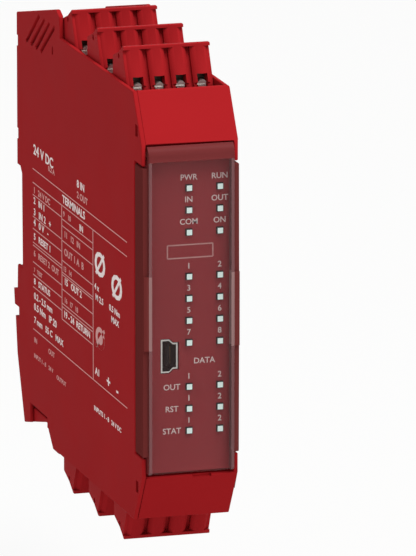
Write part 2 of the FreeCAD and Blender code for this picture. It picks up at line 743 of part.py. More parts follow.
def rail_catch():
    """Sliding catch that holds the rail's lower edge, and the spring that lifts it."""
    half = "catch_width / 2"
    nose_low = f"({CATCH_TOP} - catch_nose_tall)"
    profile = prism([
        (CATCH_FACE, CATCH_TOP),
        ("catch_nose_reach - hook_thick + catch_play", CATCH_TOP),
        ("catch_nose_reach - hook_thick + catch_play", f"{CATCH_TOP} + catch_lip_rise"),
        ("catch_nose_reach", f"{CATCH_TOP} + catch_lip_rise - catch_lip_ramp"),
        ("catch_nose_reach", nose_low),
        (CATCH_BACK, f"{nose_low} - catch_plate"),
        (CATCH_BACK, "-toe_low - catch_tail"),
        (CATCH_FACE, "-toe_low - catch_tail"),
    ], f"-{half}", half)
    tab = block(middle("0", "2 * spring_r"), (f"{SPRING_AXIS} - spring_r", CATCH_FACE),
                (SPRING_TOP, f"{SPRING_TOP} + spring_tab - catch_play"))
    driver_slot = block(middle("0", "catch_slot_wide"), (f"{CATCH_FACE} - wall", f"{CATCH_BACK} + wall"),
                        middle("catch_tail / 4 - toe_low", "catch_slot_tall"))
    node("rail_catch", cut(fuse(profile, tab), driver_slot))

    coil = doc.addObject("Part::Helix", "coil")
    bind(coil, "Radius", "spring_r")
    bind(coil, "Pitch", "spring_pitch")
    bind(coil, "Height", "spring_pitch * spring_turns - 2 * spring_wire_r")
    wire = doc.addObject("Part::Circle", "wire")
    wire.Placement = FreeCAD.Placement(FreeCAD.Vector(), FreeCAD.Rotation(FreeCAD.Vector(1, 0, 0), 90))
    bind(wire, "Radius", "spring_wire_r")
    bind(wire, "Placement.Base.x", "spring_r")
    doc.recompute()
    spring = doc.addObject("Part::Sweep", "spring")
    spring.Sections = [wire]
    spring.Spine = (coil, [f"Edge{index + 1}" for index in range(len(coil.Shape.Edges))])
    spring.Solid = True
    spring.Frenet = True
    bind(spring, "Placement.Base.y", SPRING_AXIS)
    bind(spring, "Placement.Base.z", f"{SPRING_LOW} + spring_wire_r")
    node("catch_spring", spring)


def plug_solid():
    """Plug housing: leaning front with round ribs and grooves under a lip, sloped back, straight nose."""
    half = "plug_width / 2"
    shell = prism([
        ("-plug_foot", "-nose_depth"),
        ("-plug_foot", "-plug_foot_drop"),
        ("lip_back", "lip_rise - lip_thick"),
        ("-lip_overhang", "lip_rise - lip_thick"),
        ("-lip_overhang", "lip_rise"),
        ("lip_back", "lip_rise"),
        ("slope_mid", "lip_rise - slope_mid_drop"),
        ("plug_back", "lip_rise - plug_back_drop"),
        ("plug_back", "-nose_depth"),
    ], f"-{half}", half)
    ribs = []
    tools = []
    for place in POLES:
        across = f"{place} * pole_pitch"
        rib = doc.addObject("Part::Cylinder", "rib")
        bind(rib, "Radius", "rib_r")
        bind(rib, "Height", f"(lip_rise + plug_foot_drop) / cos({PLUG_LEAN})")
        bind(rib, "Placement.Base.x", across)
        bind(rib, "Placement.Base.y", "rib_sunk - plug_foot")
        bind(rib, "Placement.Base.z", "-plug_foot_drop")
        bind(rib, "Placement.Rotation", f"create(<<rotation>>; create(<<vector>>; 1; 0; 0); -{PLUG_LEAN})")
        ribs.append(rib)
        tools.append(block(middle(across, "window_side"), ("-3 * plug_foot", "clamp_play - clamp_front"),
                           ("-screw_level - window_side / 2", "window_top")))
        tools.append(block(middle(across, "clamp_width + 2 * clamp_play"),
                           ("-clamp_front - clamp_play", "clamp_back + clamp_play"),
                           ("-clamp_low", "clamp_top + clamp_play")))
        tools.append(rod("z", (across, "wire_back", "clamp_top"), "wire_r", "2 * lip_rise"))
        tools.append(block(middle(across, "pin_side + 2 * pin_play"),
                           middle("pin_back", "pin_side + 2 * pin_play"),
                           ("-nose_depth - wall", "-clamp_low + wall")))
    for place in (-1, 0, 1):
        groove = doc.addObject("Part::Box", "groove")
        bind(groove, "Length", "groove_wide")
        bind(groove, "Width", "groove_deep + guide_play")
        bind(groove, "Height", f"(lip_rise - lip_thick + 2 * plug_foot_drop) / cos({PLUG_LEAN})")
        bind(groove, "Placement.Base.x", f"{place} * pole_pitch - groove_wide / 2")
        bind(groove, "Placement.Base.y", f"-plug_foot - guide_play - plug_foot_drop * tan({PLUG_LEAN})")
        bind(groove, "Placement.Base.z", "-2 * plug_foot_drop")
        bind(groove, "Placement.Rotation", f"create(<<rotation>>; create(<<vector>>; 1; 0; 0); -{PLUG_LEAN})")
        tools.append(groove)
    for start in (f"-{half} - wall", f"{half} - dimple_deep"):
        tools.append(rod("x", (start, "dimple_back", "lip_rise - dimple_drop"),
                         "dimple_r", "wall + dimple_deep"))
    foot_trim = block((f"-{half}", half), ("-3 * plug_foot", "-plug_foot"),
                      ("-2 * nose_depth", "-plug_foot_drop - rib_r / 2"))
    top_trim = prism([
        ("-3 * plug_foot", "lip_rise"),
        ("lip_back", "lip_rise"),
        ("slope_mid", "lip_rise - slope_mid_drop"),
        ("plug_back", "lip_rise - plug_back_drop"),
        ("plug_back", "2 * lip_rise"),
        ("-3 * plug_foot", "2 * lip_rise"),
    ], f"-{half}", half)
    return cut(fuse(shell, *ribs), foot_trim, top_trim, *tools)


def terminal_screws():
    """One slotted clamping screw for each pole."""
    screws = []
    for place in POLES:
        across = f"{place} * pole_pitch"
        head = rod("y", (across, "-screw_set", "-screw_level"), "screw_head_r", "screw_head_tall")
        shank = rod("y", (across, "-screw_set", "-screw_level"), "screw_shank_r",
                    "screw_set + clamp_front_skin")
        slot = block(middle(across, "3 * screw_head_r"), ("-2 * screw_set", "-screw_set + screw_slot_deep"),
                     middle("-screw_level", "screw_slot_wide"))
        screws.append(cut(fuse(head, shank), slot))
    return group(*screws)


def terminal_clamps():
    """One clamping cage for each pole, open above for the wire and below for the pin."""
    cages = []
    for place in POLES:
        across = f"{place} * pole_pitch"
        cage = block(middle(across, "clamp_width"), ("-clamp_front", "clamp_back"),
                     ("-clamp_low", "clamp_top"))
        room = block(middle(across, "clamp_width - 2 * clamp_skin"),
                     ("clamp_front_skin - clamp_front", "clamp_back - clamp_skin"),
                     ("-clamp_low - wall", "clamp_top + wall"))
        bore = rod("y", (across, "-clamp_front - wall", "-screw_level"), "screw_shank_r + screw_play",
                   "clamp_front_skin + 2 * wall")
        cages.append(cut(cage, room, bore))
    return group(*cages)


def header_solid():
    """Fixed half of a terminal: base on the trough floor with a wall in front of the plug."""
    half = "header_width / 2"
    front = "(-plug_foot - header_play - header_skin)"
    floor = f"-{FLOOR_DROP}"
    base = block((f"-{half}", half), (front, "plug_back"), (floor, f"{floor} + header_base"))
    rim = block((f"-{half}", half), (front, f"{front} + header_skin"), (floor, f"{floor} + header_tall"))
    holes = [block(middle(f"{place} * pole_pitch", "pin_side"), middle("pin_back", "pin_side"),
                   (f"{floor} - wall", f"{floor} + 2 * header_base")) for place in POLES]
    return cut(fuse(base, rim), *holes)


def header_pins():
    """Square pins from the terminal board up into the plug's clamps."""
    foot = f"({TERMINAL_BOARD_TOP} - {DECK})"
    return group(*[
        block(middle(f"{place} * pole_pitch", "pin_side"), middle("pin_back", "pin_side"), (foot, "-pin_top"))
        for place in POLES])


def terminals():
    """Three terminals above and three below; the lower ones are the same pieces turned half round."""
    makers = {
        "plug": plug_solid,
        "screws": terminal_screws,
        "clamps": terminal_clamps,
        "header": header_solid,
        "pins": header_pins,
    }
    half_turn = FreeCAD.Rotation(FreeCAD.Vector(0, 1, 0), 180)
    for level, turn, side in (("upper", FreeCAD.Rotation(), ""), ("lower", half_turn, "-")):
        for row_name, place in ROWS.items():
            for piece, maker in makers.items():
                item = maker()
                item.Placement = FreeCAD.Placement(FreeCAD.Vector(), turn)
                bind(item, "Placement.Base.y", f"-rear_row - {place} * {ROW_PITCH}")
                bind(item, "Placement.Base.z", f"{side}{DECK}")
                node(f"{level}_{row_name}_{piece}", item)


def save():
    """Check every object and sub-part, then write one file for each sub-part."""
    doc.recompute()
    for item in doc.Objects:
        if "Invalid" in item.State or "Error" in item.State:
            raise RuntimeError(f"{item.Name} ({item.Label}) failed: {item.State}")
    for item in nodes:
        if item.Shape.isNull() or not item.Shape.isValid():
            raise RuntimeError(f"{item.Label} has no valid shape")
    os.makedirs("parts", exist_ok=True)
    for item in nodes:
        item.Shape.exportStep(f"parts/{item.Label}.step")
        print(f"{item.Label}: {len(item.Shape.Solids)} solids, {item.Shape.Volume:.1f} mm3")


housing_body()
side_cover()
front_cover()
front_group()
electronics()
bus_socket()
rail_catch()
terminals()
save()
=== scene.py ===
"""Looks of a slim rail-mounted safety control module in red moulded plastic.

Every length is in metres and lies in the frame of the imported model: +X to the right, -Y to the
front, +Z up. Sizes written in millimetres are turned to metres by MM.
"""
import json
import logging
import math
from collections.abc import Iterable
from dataclasses import dataclass, field
from enum import Enum
from typing import Any

import bmesh
import bpy
from bmesh.types import BMEdge, BMesh, BMFace
from bpy.types import ID, Material, Mesh, MeshPolygon, Node, NodeSocket, NodeTree, Object, World
from mathutils import Matrix, Vector


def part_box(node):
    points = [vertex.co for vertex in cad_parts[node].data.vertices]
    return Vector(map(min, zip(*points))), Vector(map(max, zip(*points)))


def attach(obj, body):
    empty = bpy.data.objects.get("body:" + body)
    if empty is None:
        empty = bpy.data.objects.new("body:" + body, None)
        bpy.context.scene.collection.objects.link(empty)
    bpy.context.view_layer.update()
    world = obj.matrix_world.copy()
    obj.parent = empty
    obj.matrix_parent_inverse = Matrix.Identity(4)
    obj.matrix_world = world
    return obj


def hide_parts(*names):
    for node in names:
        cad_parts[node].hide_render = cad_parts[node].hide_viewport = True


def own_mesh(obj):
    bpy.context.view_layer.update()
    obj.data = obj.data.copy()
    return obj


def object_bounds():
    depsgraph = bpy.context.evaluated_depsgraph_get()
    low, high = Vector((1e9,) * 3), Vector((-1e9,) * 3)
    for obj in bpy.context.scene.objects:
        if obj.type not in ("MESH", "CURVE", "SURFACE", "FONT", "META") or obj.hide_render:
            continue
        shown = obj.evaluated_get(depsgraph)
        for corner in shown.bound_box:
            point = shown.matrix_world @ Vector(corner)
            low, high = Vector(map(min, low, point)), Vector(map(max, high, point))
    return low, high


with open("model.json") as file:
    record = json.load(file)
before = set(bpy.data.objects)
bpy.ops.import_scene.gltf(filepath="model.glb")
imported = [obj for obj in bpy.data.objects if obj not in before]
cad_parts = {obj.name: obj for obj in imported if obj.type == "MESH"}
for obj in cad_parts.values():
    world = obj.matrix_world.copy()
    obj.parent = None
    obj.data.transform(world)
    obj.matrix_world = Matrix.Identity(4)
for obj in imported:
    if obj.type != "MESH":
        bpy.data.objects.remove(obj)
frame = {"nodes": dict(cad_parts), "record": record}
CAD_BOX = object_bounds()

MM = 0.001
IMAGE_WIDTH = 416

# The sRGB curve: end and slope of its straight foot, offset and power above it
SRGB_FOOT, SRGB_SLOPE, SRGB_OFFSET, SRGB_POWER = 0.04045, 12.92, 0.055, 2.4

# Finer layers of noise in a slow change of tone or gloss, and in a grain
CLOUD_DETAIL, GRAIN_DETAIL = 3.0, 2.0

# Turn in radians of a diagonal wave texture over one unit of length at scale one
WAVE_TURN = 10

# Ink's thickness, a capital's share of the font's size, and steps of a letter's curve
INK_MM = 0.03
CAPITAL_SHARE = 0.7
LETTER_STEPS = 3

# A face looks to the front where its normal's Y is below this
FRONT_FACING = -0.5

LOG = logging.getLogger("safety_module")

# Height of the housing's middle above the rail's middle
LIFT = sum(corner.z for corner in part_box("light_guide")) / 2

Colour = tuple[float, float, float, float]


class Level(Enum):
    """The two terminal decks of the module."""

    UPPER = "upper"
    LOWER = "lower"


class Row(Enum):
    """The three plug rows of a deck, from the rail forward."""

    REAR = "rear"
    MIDDLE = "middle"
    FRONT = "front"


def linear(hex_colour: str) -> Colour:
    """Turn an sRGB hex colour to linear values.

    Args:
        hex_colour: Colour as "#rrggbb".

    Returns:
        Linear red, green and blue, and an alpha of one.
    """
    shares = [int(hex_colour[place:place + 2], 16) / 255 for place in (1, 3, 5)]
    red, green, blue = (
        share / SRGB_SLOPE if share <= SRGB_FOOT
        else ((share + SRGB_OFFSET) / (1 + SRGB_OFFSET)) ** SRGB_POWER for share in shares)
    return red, green, blue, 1.0


def add_node(tree: NodeTree, kind: str, settings: dict[Any, Any] | None = None,
             links: dict[Any, Any] | None = None) -> Node:
    """Add one node with its settings and incoming links.

    Args:
        tree: Node tree that takes the node.
        kind: Node type.
        settings: Values by attribute name, or by input name or number.
        links: Output sockets by input name or number.

    Returns:
        The new node.
    """
    node = tree.nodes.new(kind)
    for key, value in (settings or {}).items():
        if isinstance(key, str) and hasattr(node, key):
            setattr(node, key, value)
        else:
            node.inputs[key].default_value = value
    for key, source in (links or {}).items():
        tree.links.new(source, node.inputs[key])
    return node


def empty_tree(owner: Material | World) -> NodeTree:
    """Node tree of a material or a world, emptied."""
    owner.use_nodes = True
    owner.node_tree.nodes.clear()
    return owner.node_tree


def new_object(name: str, data: ID) -> Object:
    """Add an object to the scene.

    Args:
        name: Name of the object.
        data: Its mesh, curve, camera or light.

    Returns:
        The new object.
    """
    made = bpy.data.objects.new(name, data)
    bpy.context.scene.collection.objects.link(made)
    return made


@dataclass(frozen=True)
class Surface:
    """The shader of a material in the making, with the patterns that can be laid on it.

    Attributes:
        tree: Node tree of the material.
        shader: Its principled shader.
        place: Object coordinates.
    """

    tree: NodeTree
    shader: Node
    place: NodeSocket

    def noise(self, width_mm: float, detail: float = CLOUD_DETAIL) -> NodeSocket:
        """Soft noise in object coordinates.

        Args:
            width_mm: Width of a patch or a grain.
            detail: Number of finer layers.

        Returns:
            The noise, from zero to one.
        """
        made = add_node(self.tree, "ShaderNodeTexNoise",
                        {"Scale": 1 / (width_mm * MM), "Detail": detail}, {"Vector": self.place})
        return made.outputs["Fac"]

    def tint(self, pattern: NodeSocket, low: Colour, high: Colour,
             stops: tuple[float, float] = (0.0, 1.0)) -> None:
        """Colour the surface by a pattern.

        Args:
            pattern: Pattern from zero to one.
            low: Linear colour at the first stop and below.
            high: Linear colour at the second stop and above.
            stops: Values of the pattern between which the colour changes.
        """
        ramp = add_node(self.tree, "ShaderNodeValToRGB", links={"Fac": pattern})
        for element, colour, stop in zip(ramp.color_ramp.elements, (low, high), stops):
            element.position = stop
            element.color = colour
        self.tree.links.new(ramp.outputs["Color"], self.shader.inputs["Base Color"])

    def wear(self, patch_mm: float, low: float, high: float) -> None:
        """Vary the roughness over soft patches.

        Args:
            patch_mm: Width of a patch.
            low: Roughness at one end.
            high: Roughness at the other end.
        """
        spread = add_node(self.tree, "ShaderNodeMapRange", {"To Min": low, "To Max": high},
                          {"Value": self.noise(patch_mm)})
        self.tree.links.new(spread.outputs["Result"], self.shader.inputs["Roughness"])

    def grain(self, grain_mm: float, depth_mm: float) -> None:
        """Give the surface a fine even relief.

        Args:
            grain_mm: Width of a grain.
            depth_mm: Height of the relief.
        """
        relief = add_node(self.tree, "ShaderNodeBump", {"Strength": 1.0, "Distance": depth_mm * MM},
                          {"Height": self.noise(grain_mm, GRAIN_DETAIL)})
        self.tree.links.new(relief.outputs["Normal"], self.shader.inputs["Normal"])


@dataclass(frozen=True)
class Finish:
    """A material with one shader, whose fixed values sit on the shader's own sockets.

    Attributes:
        name: Name of the material.
        colour: Its sRGB colour as "#rrggbb".
        roughness: Roughness of the surface.
        metallic: One for metal, zero for the rest.
        ior: Index of refraction.
        specular: Strength of the mirrored light.
    """

    name: str
    colour: str
    roughness: float = 0.5
    metallic: float = 0.0
    ior: float = 1.5
    specular: float = 0.5

    def shader_values(self) -> dict[str, Any]:
        """Fixed values of the shader, by input name."""
        return {"Base Color": linear(self.colour), "Roughness": self.roughness,
                "Metallic": self.metallic, "IOR": self.ior, "Specular IOR Level": self.specular}

    def detail(self, surface: Surface) -> None:
        """Add the finish's own pattern.

        Args:
            surface: Surface that takes it.
        """

    def build(self) -> Material:
        """Make the material, or give the one that is made already.

        Returns:
            The material.
        """
        made = bpy.data.materials.get(self.name)
        if made:
            return made
        material = bpy.data.materials.new(self.name)
        tree = empty_tree(material)
        place = add_node(tree, "ShaderNodeTexCoord").outputs["Object"]
        shader = add_node(tree, "ShaderNodeBsdfPrincipled", self.shader_values())
        add_node(tree, "ShaderNodeOutputMaterial", links={"Surface": shader.outputs["BSDF"]})
        self.detail(Surface(tree, shader, place))
        return material


@dataclass(frozen=True)
class MouldedPlastic(Finish):
    """Plastic from a spark-eroded mould: an even fine matt grain and a faintly uneven tone.

    The grain of such a mould is near 0.1 mm; it is drawn coarser so that it shows at the photo's
    scale.

    Attributes:
        grain_mm: Width of a grain.
        relief_mm: Height of a grain.
        patch_mm: Width of a patch of one tone.
        shade: Change of tone either way, as a share of the colour.
        gloss: Change of roughness either way.
    """

    specular: float = 0.2
    grain_mm: float = 0.35
    relief_mm: float = 0.006
    patch_mm: float = 14.0
    shade: float = 0.06
    gloss: float = 0.05

    def detail(self, surface: Surface) -> None:
        """Add the mould's grain, and a slow change of tone and gloss."""
        red, green, blue, _ = linear(self.colour)
        dark, pale = ((red * share, green * share, blue * share, 1.0)
                      for share in (1 - self.shade, 1 + self.shade))
        surface.tint(surface.noise(self.patch_mm), dark, pale)
        surface.wear(self.patch_mm / 2, self.roughness - self.gloss, self.roughness + self.gloss)
        surface.grain(self.grain_mm, self.relief_mm)


@dataclass(frozen=True)
class PlatedMetal(Finish):
    """Metal with a thin plate, a little uneven in gloss from handling and drawing."""

    metallic: float = 1.0
    patch_mm: float = 1.2
    smoother: float = 0.06
    rougher: float = 0.1
    mark_mm: float = 0.3
    mark_depth_mm: float = 0.002

    def detail(self, surface: Surface) -> None:
        """Add the uneven gloss and a trace of drawing marks."""
        surface.wear(self.patch_mm, self.roughness - self.smoother, self.roughness + self.rougher)
        surface.grain(self.mark_mm, self.mark_depth_mm)


@dataclass(frozen=True)
class SmokePolycarbonate(Finish):
    """Clear polycarbonate with a smoke dye, glossy from a polished mould.

    The alpha is the share of the light that the dye keeps back.
    """

    ior: float = 1.585
    alpha: float = 0.3
    patch_mm: float = 3.0
    rougher: float = 0.08

    def shader_values(self) -> dict[str, Any]:
        """Fixed values of the shader, with the share that is kept back."""
        values = super().shader_values()
        values["Alpha"] = self.alpha
        return values

    def detail(self, surface: Surface) -> None:
        """Add the fine wipe marks that such a lid picks up."""
        surface.wear(self.patch_mm, self.roughness, self.roughness + self.rougher)


@dataclass(frozen=True)
class FrostedAcrylic(Finish):
    """Clear acrylic with a frosted end, which can carry a painted glow: light of its own that no
    lamp gives.
    """

    ior: float = 1.49
    painted_glow: float = 0.0
    frost_mm: float = 0.15
    frost_depth_mm: float = 0.01

    def shader_values(self) -> dict[str, Any]:
        """Fixed values of the shader, with the painted glow: an emission in the end's own colour.
        """
        values = super().shader_values()
        values["Emission Color"] = linear(self.colour)
        values["Emission Strength"] = self.painted_glow
        return values

    def detail(self, surface: Surface) -> None:
        """Add the frosting."""
        surface.grain(self.frost_mm, self.frost_depth_mm)


@dataclass(frozen=True)
class SolderMask(Finish):
    """Lacquer over a glass laminate, with copper tracks that show as paler stripes under it.

    Attributes:
        track_colour: Colour over a track.
        track_mm: Length in which the stripes' wave turns by one radian.
        wander: Waviness of the tracks.
        track_edge: Values of the wave between which a track begins.
    """

    track_colour: str = "#2E7A4A"
    track_mm: float = 1.27
    wander: float = 1.5
    track_edge: tuple[float, float] = (0.55, 0.6)

    def detail(self, surface: Surface) -> None:
        """Add the tracks."""
        waves = add_node(surface.tree, "ShaderNodeTexWave",
                         {"bands_direction": "DIAGONAL", "Distortion": self.wander,
                          "Scale": 1 / (self.track_mm * MM * WAVE_TURN)}, {"Vector": surface.place})
        surface.tint(waves.outputs["Fac"], linear(self.colour), linear(self.track_colour),
                     self.track_edge)


@dataclass(frozen=True)
class ScreenInk(Finish):
    """Screen-printed ink: flat, pale and a little thin, so that the plastic tints it in places."""

    thin_colour: str = "#D9A6A4"
    patch_mm: float = 0.8

    def detail(self, surface: Surface) -> None:
        """Add the thin places."""
        surface.tint(surface.noise(self.patch_mm), linear(self.thin_colour), linear(self.colour))


HOUSING_RED = MouldedPlastic("moulded_polyamide_red", "#9E1D21", 0.5, specular=0.005)
PLUG_RED = MouldedPlastic("moulded_polyamide_plug_red", "#9F1F23", 0.45, specular=0.006,
                          grain_mm=0.25)
PANEL_RED = MouldedPlastic("moulded_polyamide_panel_red", "#A43C41", 0.5, specular=0.01)
BLACK_POLYESTER = MouldedPlastic("glass_filled_polyester_black", "#141415", 0.45, specular=0.1,
                                 grain_mm=0.25)
BLACK_ACETAL = MouldedPlastic("moulded_acetal_black", "#19191B", 0.38, grain_mm=0.3)
CHIP_EPOXY = MouldedPlastic("moulded_epoxy_grey", "#2A2A2C", 0.6, grain_mm=0.15)
LED_EPOXY = MouldedPlastic("cast_epoxy_yellowish", "#E4E2C8", 0.3, grain_mm=0.2)
NICKEL = PlatedMetal("nickel_plated_steel", "#E6E5DF", 0.3)
ZINC = PlatedMetal("zinc_plated_steel", "#F6F4EE", 0.34)
# Painted shade: near black on the socket shell's inner and side faces, standing for the shade
# inside it
SHELL_INSIDE_PAINTED_SHADE = PlatedMetal("steel_painted_shade", "#1B1B1C", 0.5)
TIN = PlatedMetal("tinned_copper", "#C6C6C2", 0.34)
# Painted shade: the clamps are a dark brownish grey, much darker than plated metal, so that the
# deep terminal windows read dark
CLAMP_PAINTED_SHADE = PlatedMetal("clamp_metal_painted_shade", "#4A423A", 0.4)
GOLD = PlatedMetal("gold_plated_bronze", "#D9B766", 0.25)
ALUMINIUM = PlatedMetal("drawn_aluminium", "#C9CBCC", 0.3)

# The lid's plate, then copies of it with painted shade at its edges and over its hinge, and with
# painted highlights along its rims and grips
SMOKE = SmokePolycarbonate("smoke_polycarbonate", "#4A3C3C", 0.12, specular=0.2, alpha=0.18)
# Painted shade: near-opaque dark red without gloss on the lid's edges, standing for the shaded
# housing seen through them
SMOKE_EDGE_PAINTED_SHADE = SmokePolycarbonate("smoke_polycarbonate_edge_painted_shade", "#6A2C2B", 0.3, specular=0.0,
                                alpha=0.92)
# Painted shade: near-opaque dark red on the lid's rounded head, standing for the shaded panel top
# under it in place of its grey reflection
SMOKE_HEAD_PAINTED_SHADE = SmokePolycarbonate("smoke_polycarbonate_head_painted_shade", "#743031", 0.3, specular=0.02,
                                alpha=0.85)
# Painted highlights: pale pinkish grey along the lid's rims, paler still on its grips, standing for
# the glints of the clear edges
SMOKE_RIM_PAINTED_HIGHLIGHT = SmokePolycarbonate("smoke_polycarbonate_rim_painted_highlight", "#7E585A", 0.3, specular=0.02, alpha=0.7)
SMOKE_GRIP_PAINTED_HIGHLIGHT = SmokePolycarbonate("smoke_polycarbonate_grip_painted_highlight", "#9C7A79", 0.4, specular=0.05,
                                alpha=0.75)

# Painted glow: the lamp ends give off light of their own, though no lamp lights them
GUIDE = FrostedAcrylic("frosted_acrylic_white_painted_glow", "#DDF0EB", 0.35, painted_glow=0.45)
# Painted shade: near black on the light pipes and the ends' sides, and on the thin sheet around
# each end that stands for the shadow of its gap
GUIDE_SIDE_PAINTED_SHADE = FrostedAcrylic("acrylic_edge_painted_shade", "#2A2224", 0.2)
BOARD_GREEN = SolderMask("green_solder_mask", "#14532F", 0.3)
WHITE_INK = ScreenInk("white_screen_ink", "#FFFFFF", 0.6, specular=0.02, thin_colour="#E8C9C7")
FAINT_INK = ScreenInk("faint_screen_ink", "#E2B4B2", 0.6, specular=0.02, thin_colour="#C88886")
PANEL_INK = ScreenInk("panel_screen_ink", "#FFF2F0", 0.6, specular=0.02, thin_colour="#F0D2D0")

# Turns from a print's plane to its face: along the print, up the print and out of the face
SIDE_WALL_TURN = Matrix(((0, 0, -1), (-1, 0, 0), (0, 1, 0)))
PANEL_TURN = Matrix(((1, 0, 0), (0, 0, -1), (0, 1, 0)))


def coat(mesh: Mesh, finish: Finish) -> None:
    """Give a mesh one finish in place of what it has."""
    mesh.materials.clear()
    mesh.materials.append(finish.build())


def add_piece(name: str, mesh: Mesh, body: str, finish: Finish | None = None) -> Object:
    """Put a finished mesh in the scene on a body of the frame.

    Args:
        name: Name of the piece.
        mesh: Its mesh, already in place.
        body: Body that carries it.
        finish: Its finish, where the mesh has no material yet.

    Returns:
        The new object.
    """
    mesh.name = name
    piece = new_object(name, mesh)
    if finish:
        coat(mesh, finish)
    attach(piece, body)
    LOG.info("%s: %d faces on %s", name, len(mesh.polygons), body)
    return piece


def dress(finishes: dict[str, Finish]) -> None:
    """Give nodes of the frame their finishes, listed by node."""
    for node, finish in finishes.items():
        coat(frame["nodes"][node].data, finish)


def body_of(node: str) -> str:
    """Body of the frame that carries a node."""
    bodies = frame["record"]["behaviour"]["bodies"]
    return next(body for body, members in bodies.items() if node in members)


def evaluated_mesh(piece: Object) -> Mesh:
    """Plain mesh of an object with its modifiers or its curve worked out.

    Args:
        piece: Object to evaluate; it is removed afterwards.

    Returns:
        The plain mesh.
    """
    graph = bpy.context.evaluated_depsgraph_get()
    mesh = bpy.data.meshes.new_from_object(piece.evaluated_get(graph))
    bpy.data.objects.remove(piece)
    return mesh


@dataclass(frozen=True)
class SoftEdges:
    """Rounds the long sharp outer edges of a moulding, as its mould does.

    Inner corners stay as they are, so that the moulding nowhere stands proud of its solid.

    Attributes:
        radius_mm: Width of the rounding.
        shortest_mm: Sharp edges shorter than this stay as they are.
        sharpest: Angle between faces above which an edge is rounded, in degrees.
        room: Narrowest face that may be rounded, as a multiple of the radius.
        merge_mm: Points nearer than this become one.
        flat_angle: Faces that differ by less than this become one, in degrees.
        segments: Faces across a rounding.
        profile: Shape of the rounding; a half is round.
        area_weight: Weight of the larger faces in the shading, where 50 is none.
    """

    radius_mm: float = 0.3
    shortest_mm: float = 1.2
    sharpest: float = 35.0
    room: float = 2.5
    merge_mm: float = 0.002
    flat_angle: float = 0.2
    segments: int = 2
    profile: float = 0.5
    area_weight: int = 100

    def is_narrow(self, face: BMFace) -> bool:
        """True for a strip with no room for a rounding."""
        return 2 * face.calc_area() / face.calc_perimeter() < self.room * self.radius_mm * MM

    def outer_edges(self, work: BMesh) -> list[BMEdge]:
        """Edges that are to be rounded.

        Args:
            work: Mesh whose flat faces are joined.

        Returns:
            Its long sharp outer edges between faces with room for a rounding.
        """
        limit = math.radians(self.sharpest)
        return [edge for edge in work.edges if len(edge.link_faces) == 2 and edge.is_convex
                and edge.calc_length() > self.shortest_mm * MM and edge.calc_face_angle() > limit
                and not any(self.is_narrow(face) for face in edge.link_faces)]

    def mesh(self, node: str) -> Mesh:
        """Rounded copy of a node's mesh.

        Args:
            node: Node of the frame.

        Returns:
            The new mesh.
        """
        work = bmesh.new()
        work.from_mesh(frame["nodes"][node].data)
        bmesh.ops.remove_doubles(work, verts=work.verts, dist=self.merge_mm * MM)
        bmesh.ops.dissolve_limit(work, angle_limit=math.radians(self.flat_angle), verts=work.verts,
                                 edges=work.edges)
        bmesh.ops.bevel(work, geom=self.outer_edges(work), offset=self.radius_mm * MM,
                        offset_type="OFFSET", segments=self.segments, profile=self.profile,
                        affect="EDGES", clamp_overlap=False)
        bmesh.ops.remove_doubles(work, verts=work.verts, dist=self.merge_mm * MM)
        for face in work.faces:
            face.smooth = True
        for edge in work.edges:
            edge.smooth = edge.calc_face_angle(0.0) < math.radians(self.sharpest)
        mesh = bpy.data.meshes.new(node)
        work.to_mesh(mesh)
        work.free()
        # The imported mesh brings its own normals, which no longer fit the new faces
        stale = mesh.attributes.get("custom_normal")
        if stale:
            mesh.attributes.remove(stale)
        carrier = new_object(node, mesh)
        weighted = carrier.modifiers.new("weighted", "WEIGHTED_NORMAL")
        weighted.weight = self.area_weight
        weighted.keep_sharp = True
        return evaluated_mesh(carrier)

    def replace(self, node: str, finish: Finish) -> Object:
        """Show a rounded copy in place of a node.

        Args:
            node: Node of the frame.
            finish: Finish of the copy.

        Returns:
            The new piece.
        """
        piece = add_piece(f"{node}_moulding", self.mesh(node), body_of(node), finish)
        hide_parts(node)
        return piece


def new_tree(name: str, inputs: dict[str, str]) -> tuple[NodeTree, Node]:
    """Start a geometry tree with named inputs.

    Args:
        name: Name of the tree.
        inputs: Socket types by input name.

    Returns:
        The tree and its input node.
    """
    tree = bpy.data.node_groups.new(name, "GeometryNodeTree")
    tree.interface.new_socket("Geometry", in_out="OUTPUT", socket_type="NodeSocketGeometry")
    for label, kind in inputs.items():
        tree.interface.new_socket(label, in_out="INPUT", socket_type=kind)
    return tree, add_node(tree, "NodeGroupInput")


def grown_mesh(tree: NodeTree, values: dict[str, Any], start: Mesh | None = None) -> Mesh:
    """Run a geometry tree and keep the result as a plain mesh.

    Args:
        tree: The tree.
        values: Values by input name.
        start: Mesh that the tree starts from, if it reads one.

    Returns:
        The plain mesh.
    """
    carrier = new_object(tree.name, start or bpy.data.meshes.new(tree.name))
    modifier = carrier.modifiers.new(tree.name, "NODES")
    modifier.node_group = tree
    for item in tree.interface.items_tree:
        if item.in_out == "INPUT" and item.name in values:
            modifier[item.identifier] = values[item.name]
    return evaluated_mesh(carrier)


def boxes_on_points(tree: NodeTree, points: NodeSocket,
                    sides: tuple[NodeSocket, ...]) -> NodeSocket:
    """Set equal boxes on points.

    Args:
        tree: Geometry tree that takes the nodes.
        points: Geometry whose points carry the boxes.
        sides: Sides of a box along X, Y and Z.

    Returns:
        The boxes.
    """
    size = add_node(tree, "ShaderNodeCombineXYZ", links=dict(zip("XYZ", sides)))
    box = add_node(tree, "GeometryNodeMeshCube", links={"Size": size.outputs["Vector"]})
    boxes = add_node(tree, "GeometryNodeInstanceOnPoints", links={
        "Points": points, "Instance": box.outputs["Mesh"]})
    solid = add_node(tree, "GeometryNodeRealizeInstances", links={
        "Geometry": boxes.outputs["Instances"]})
    return solid.outputs["Geometry"]


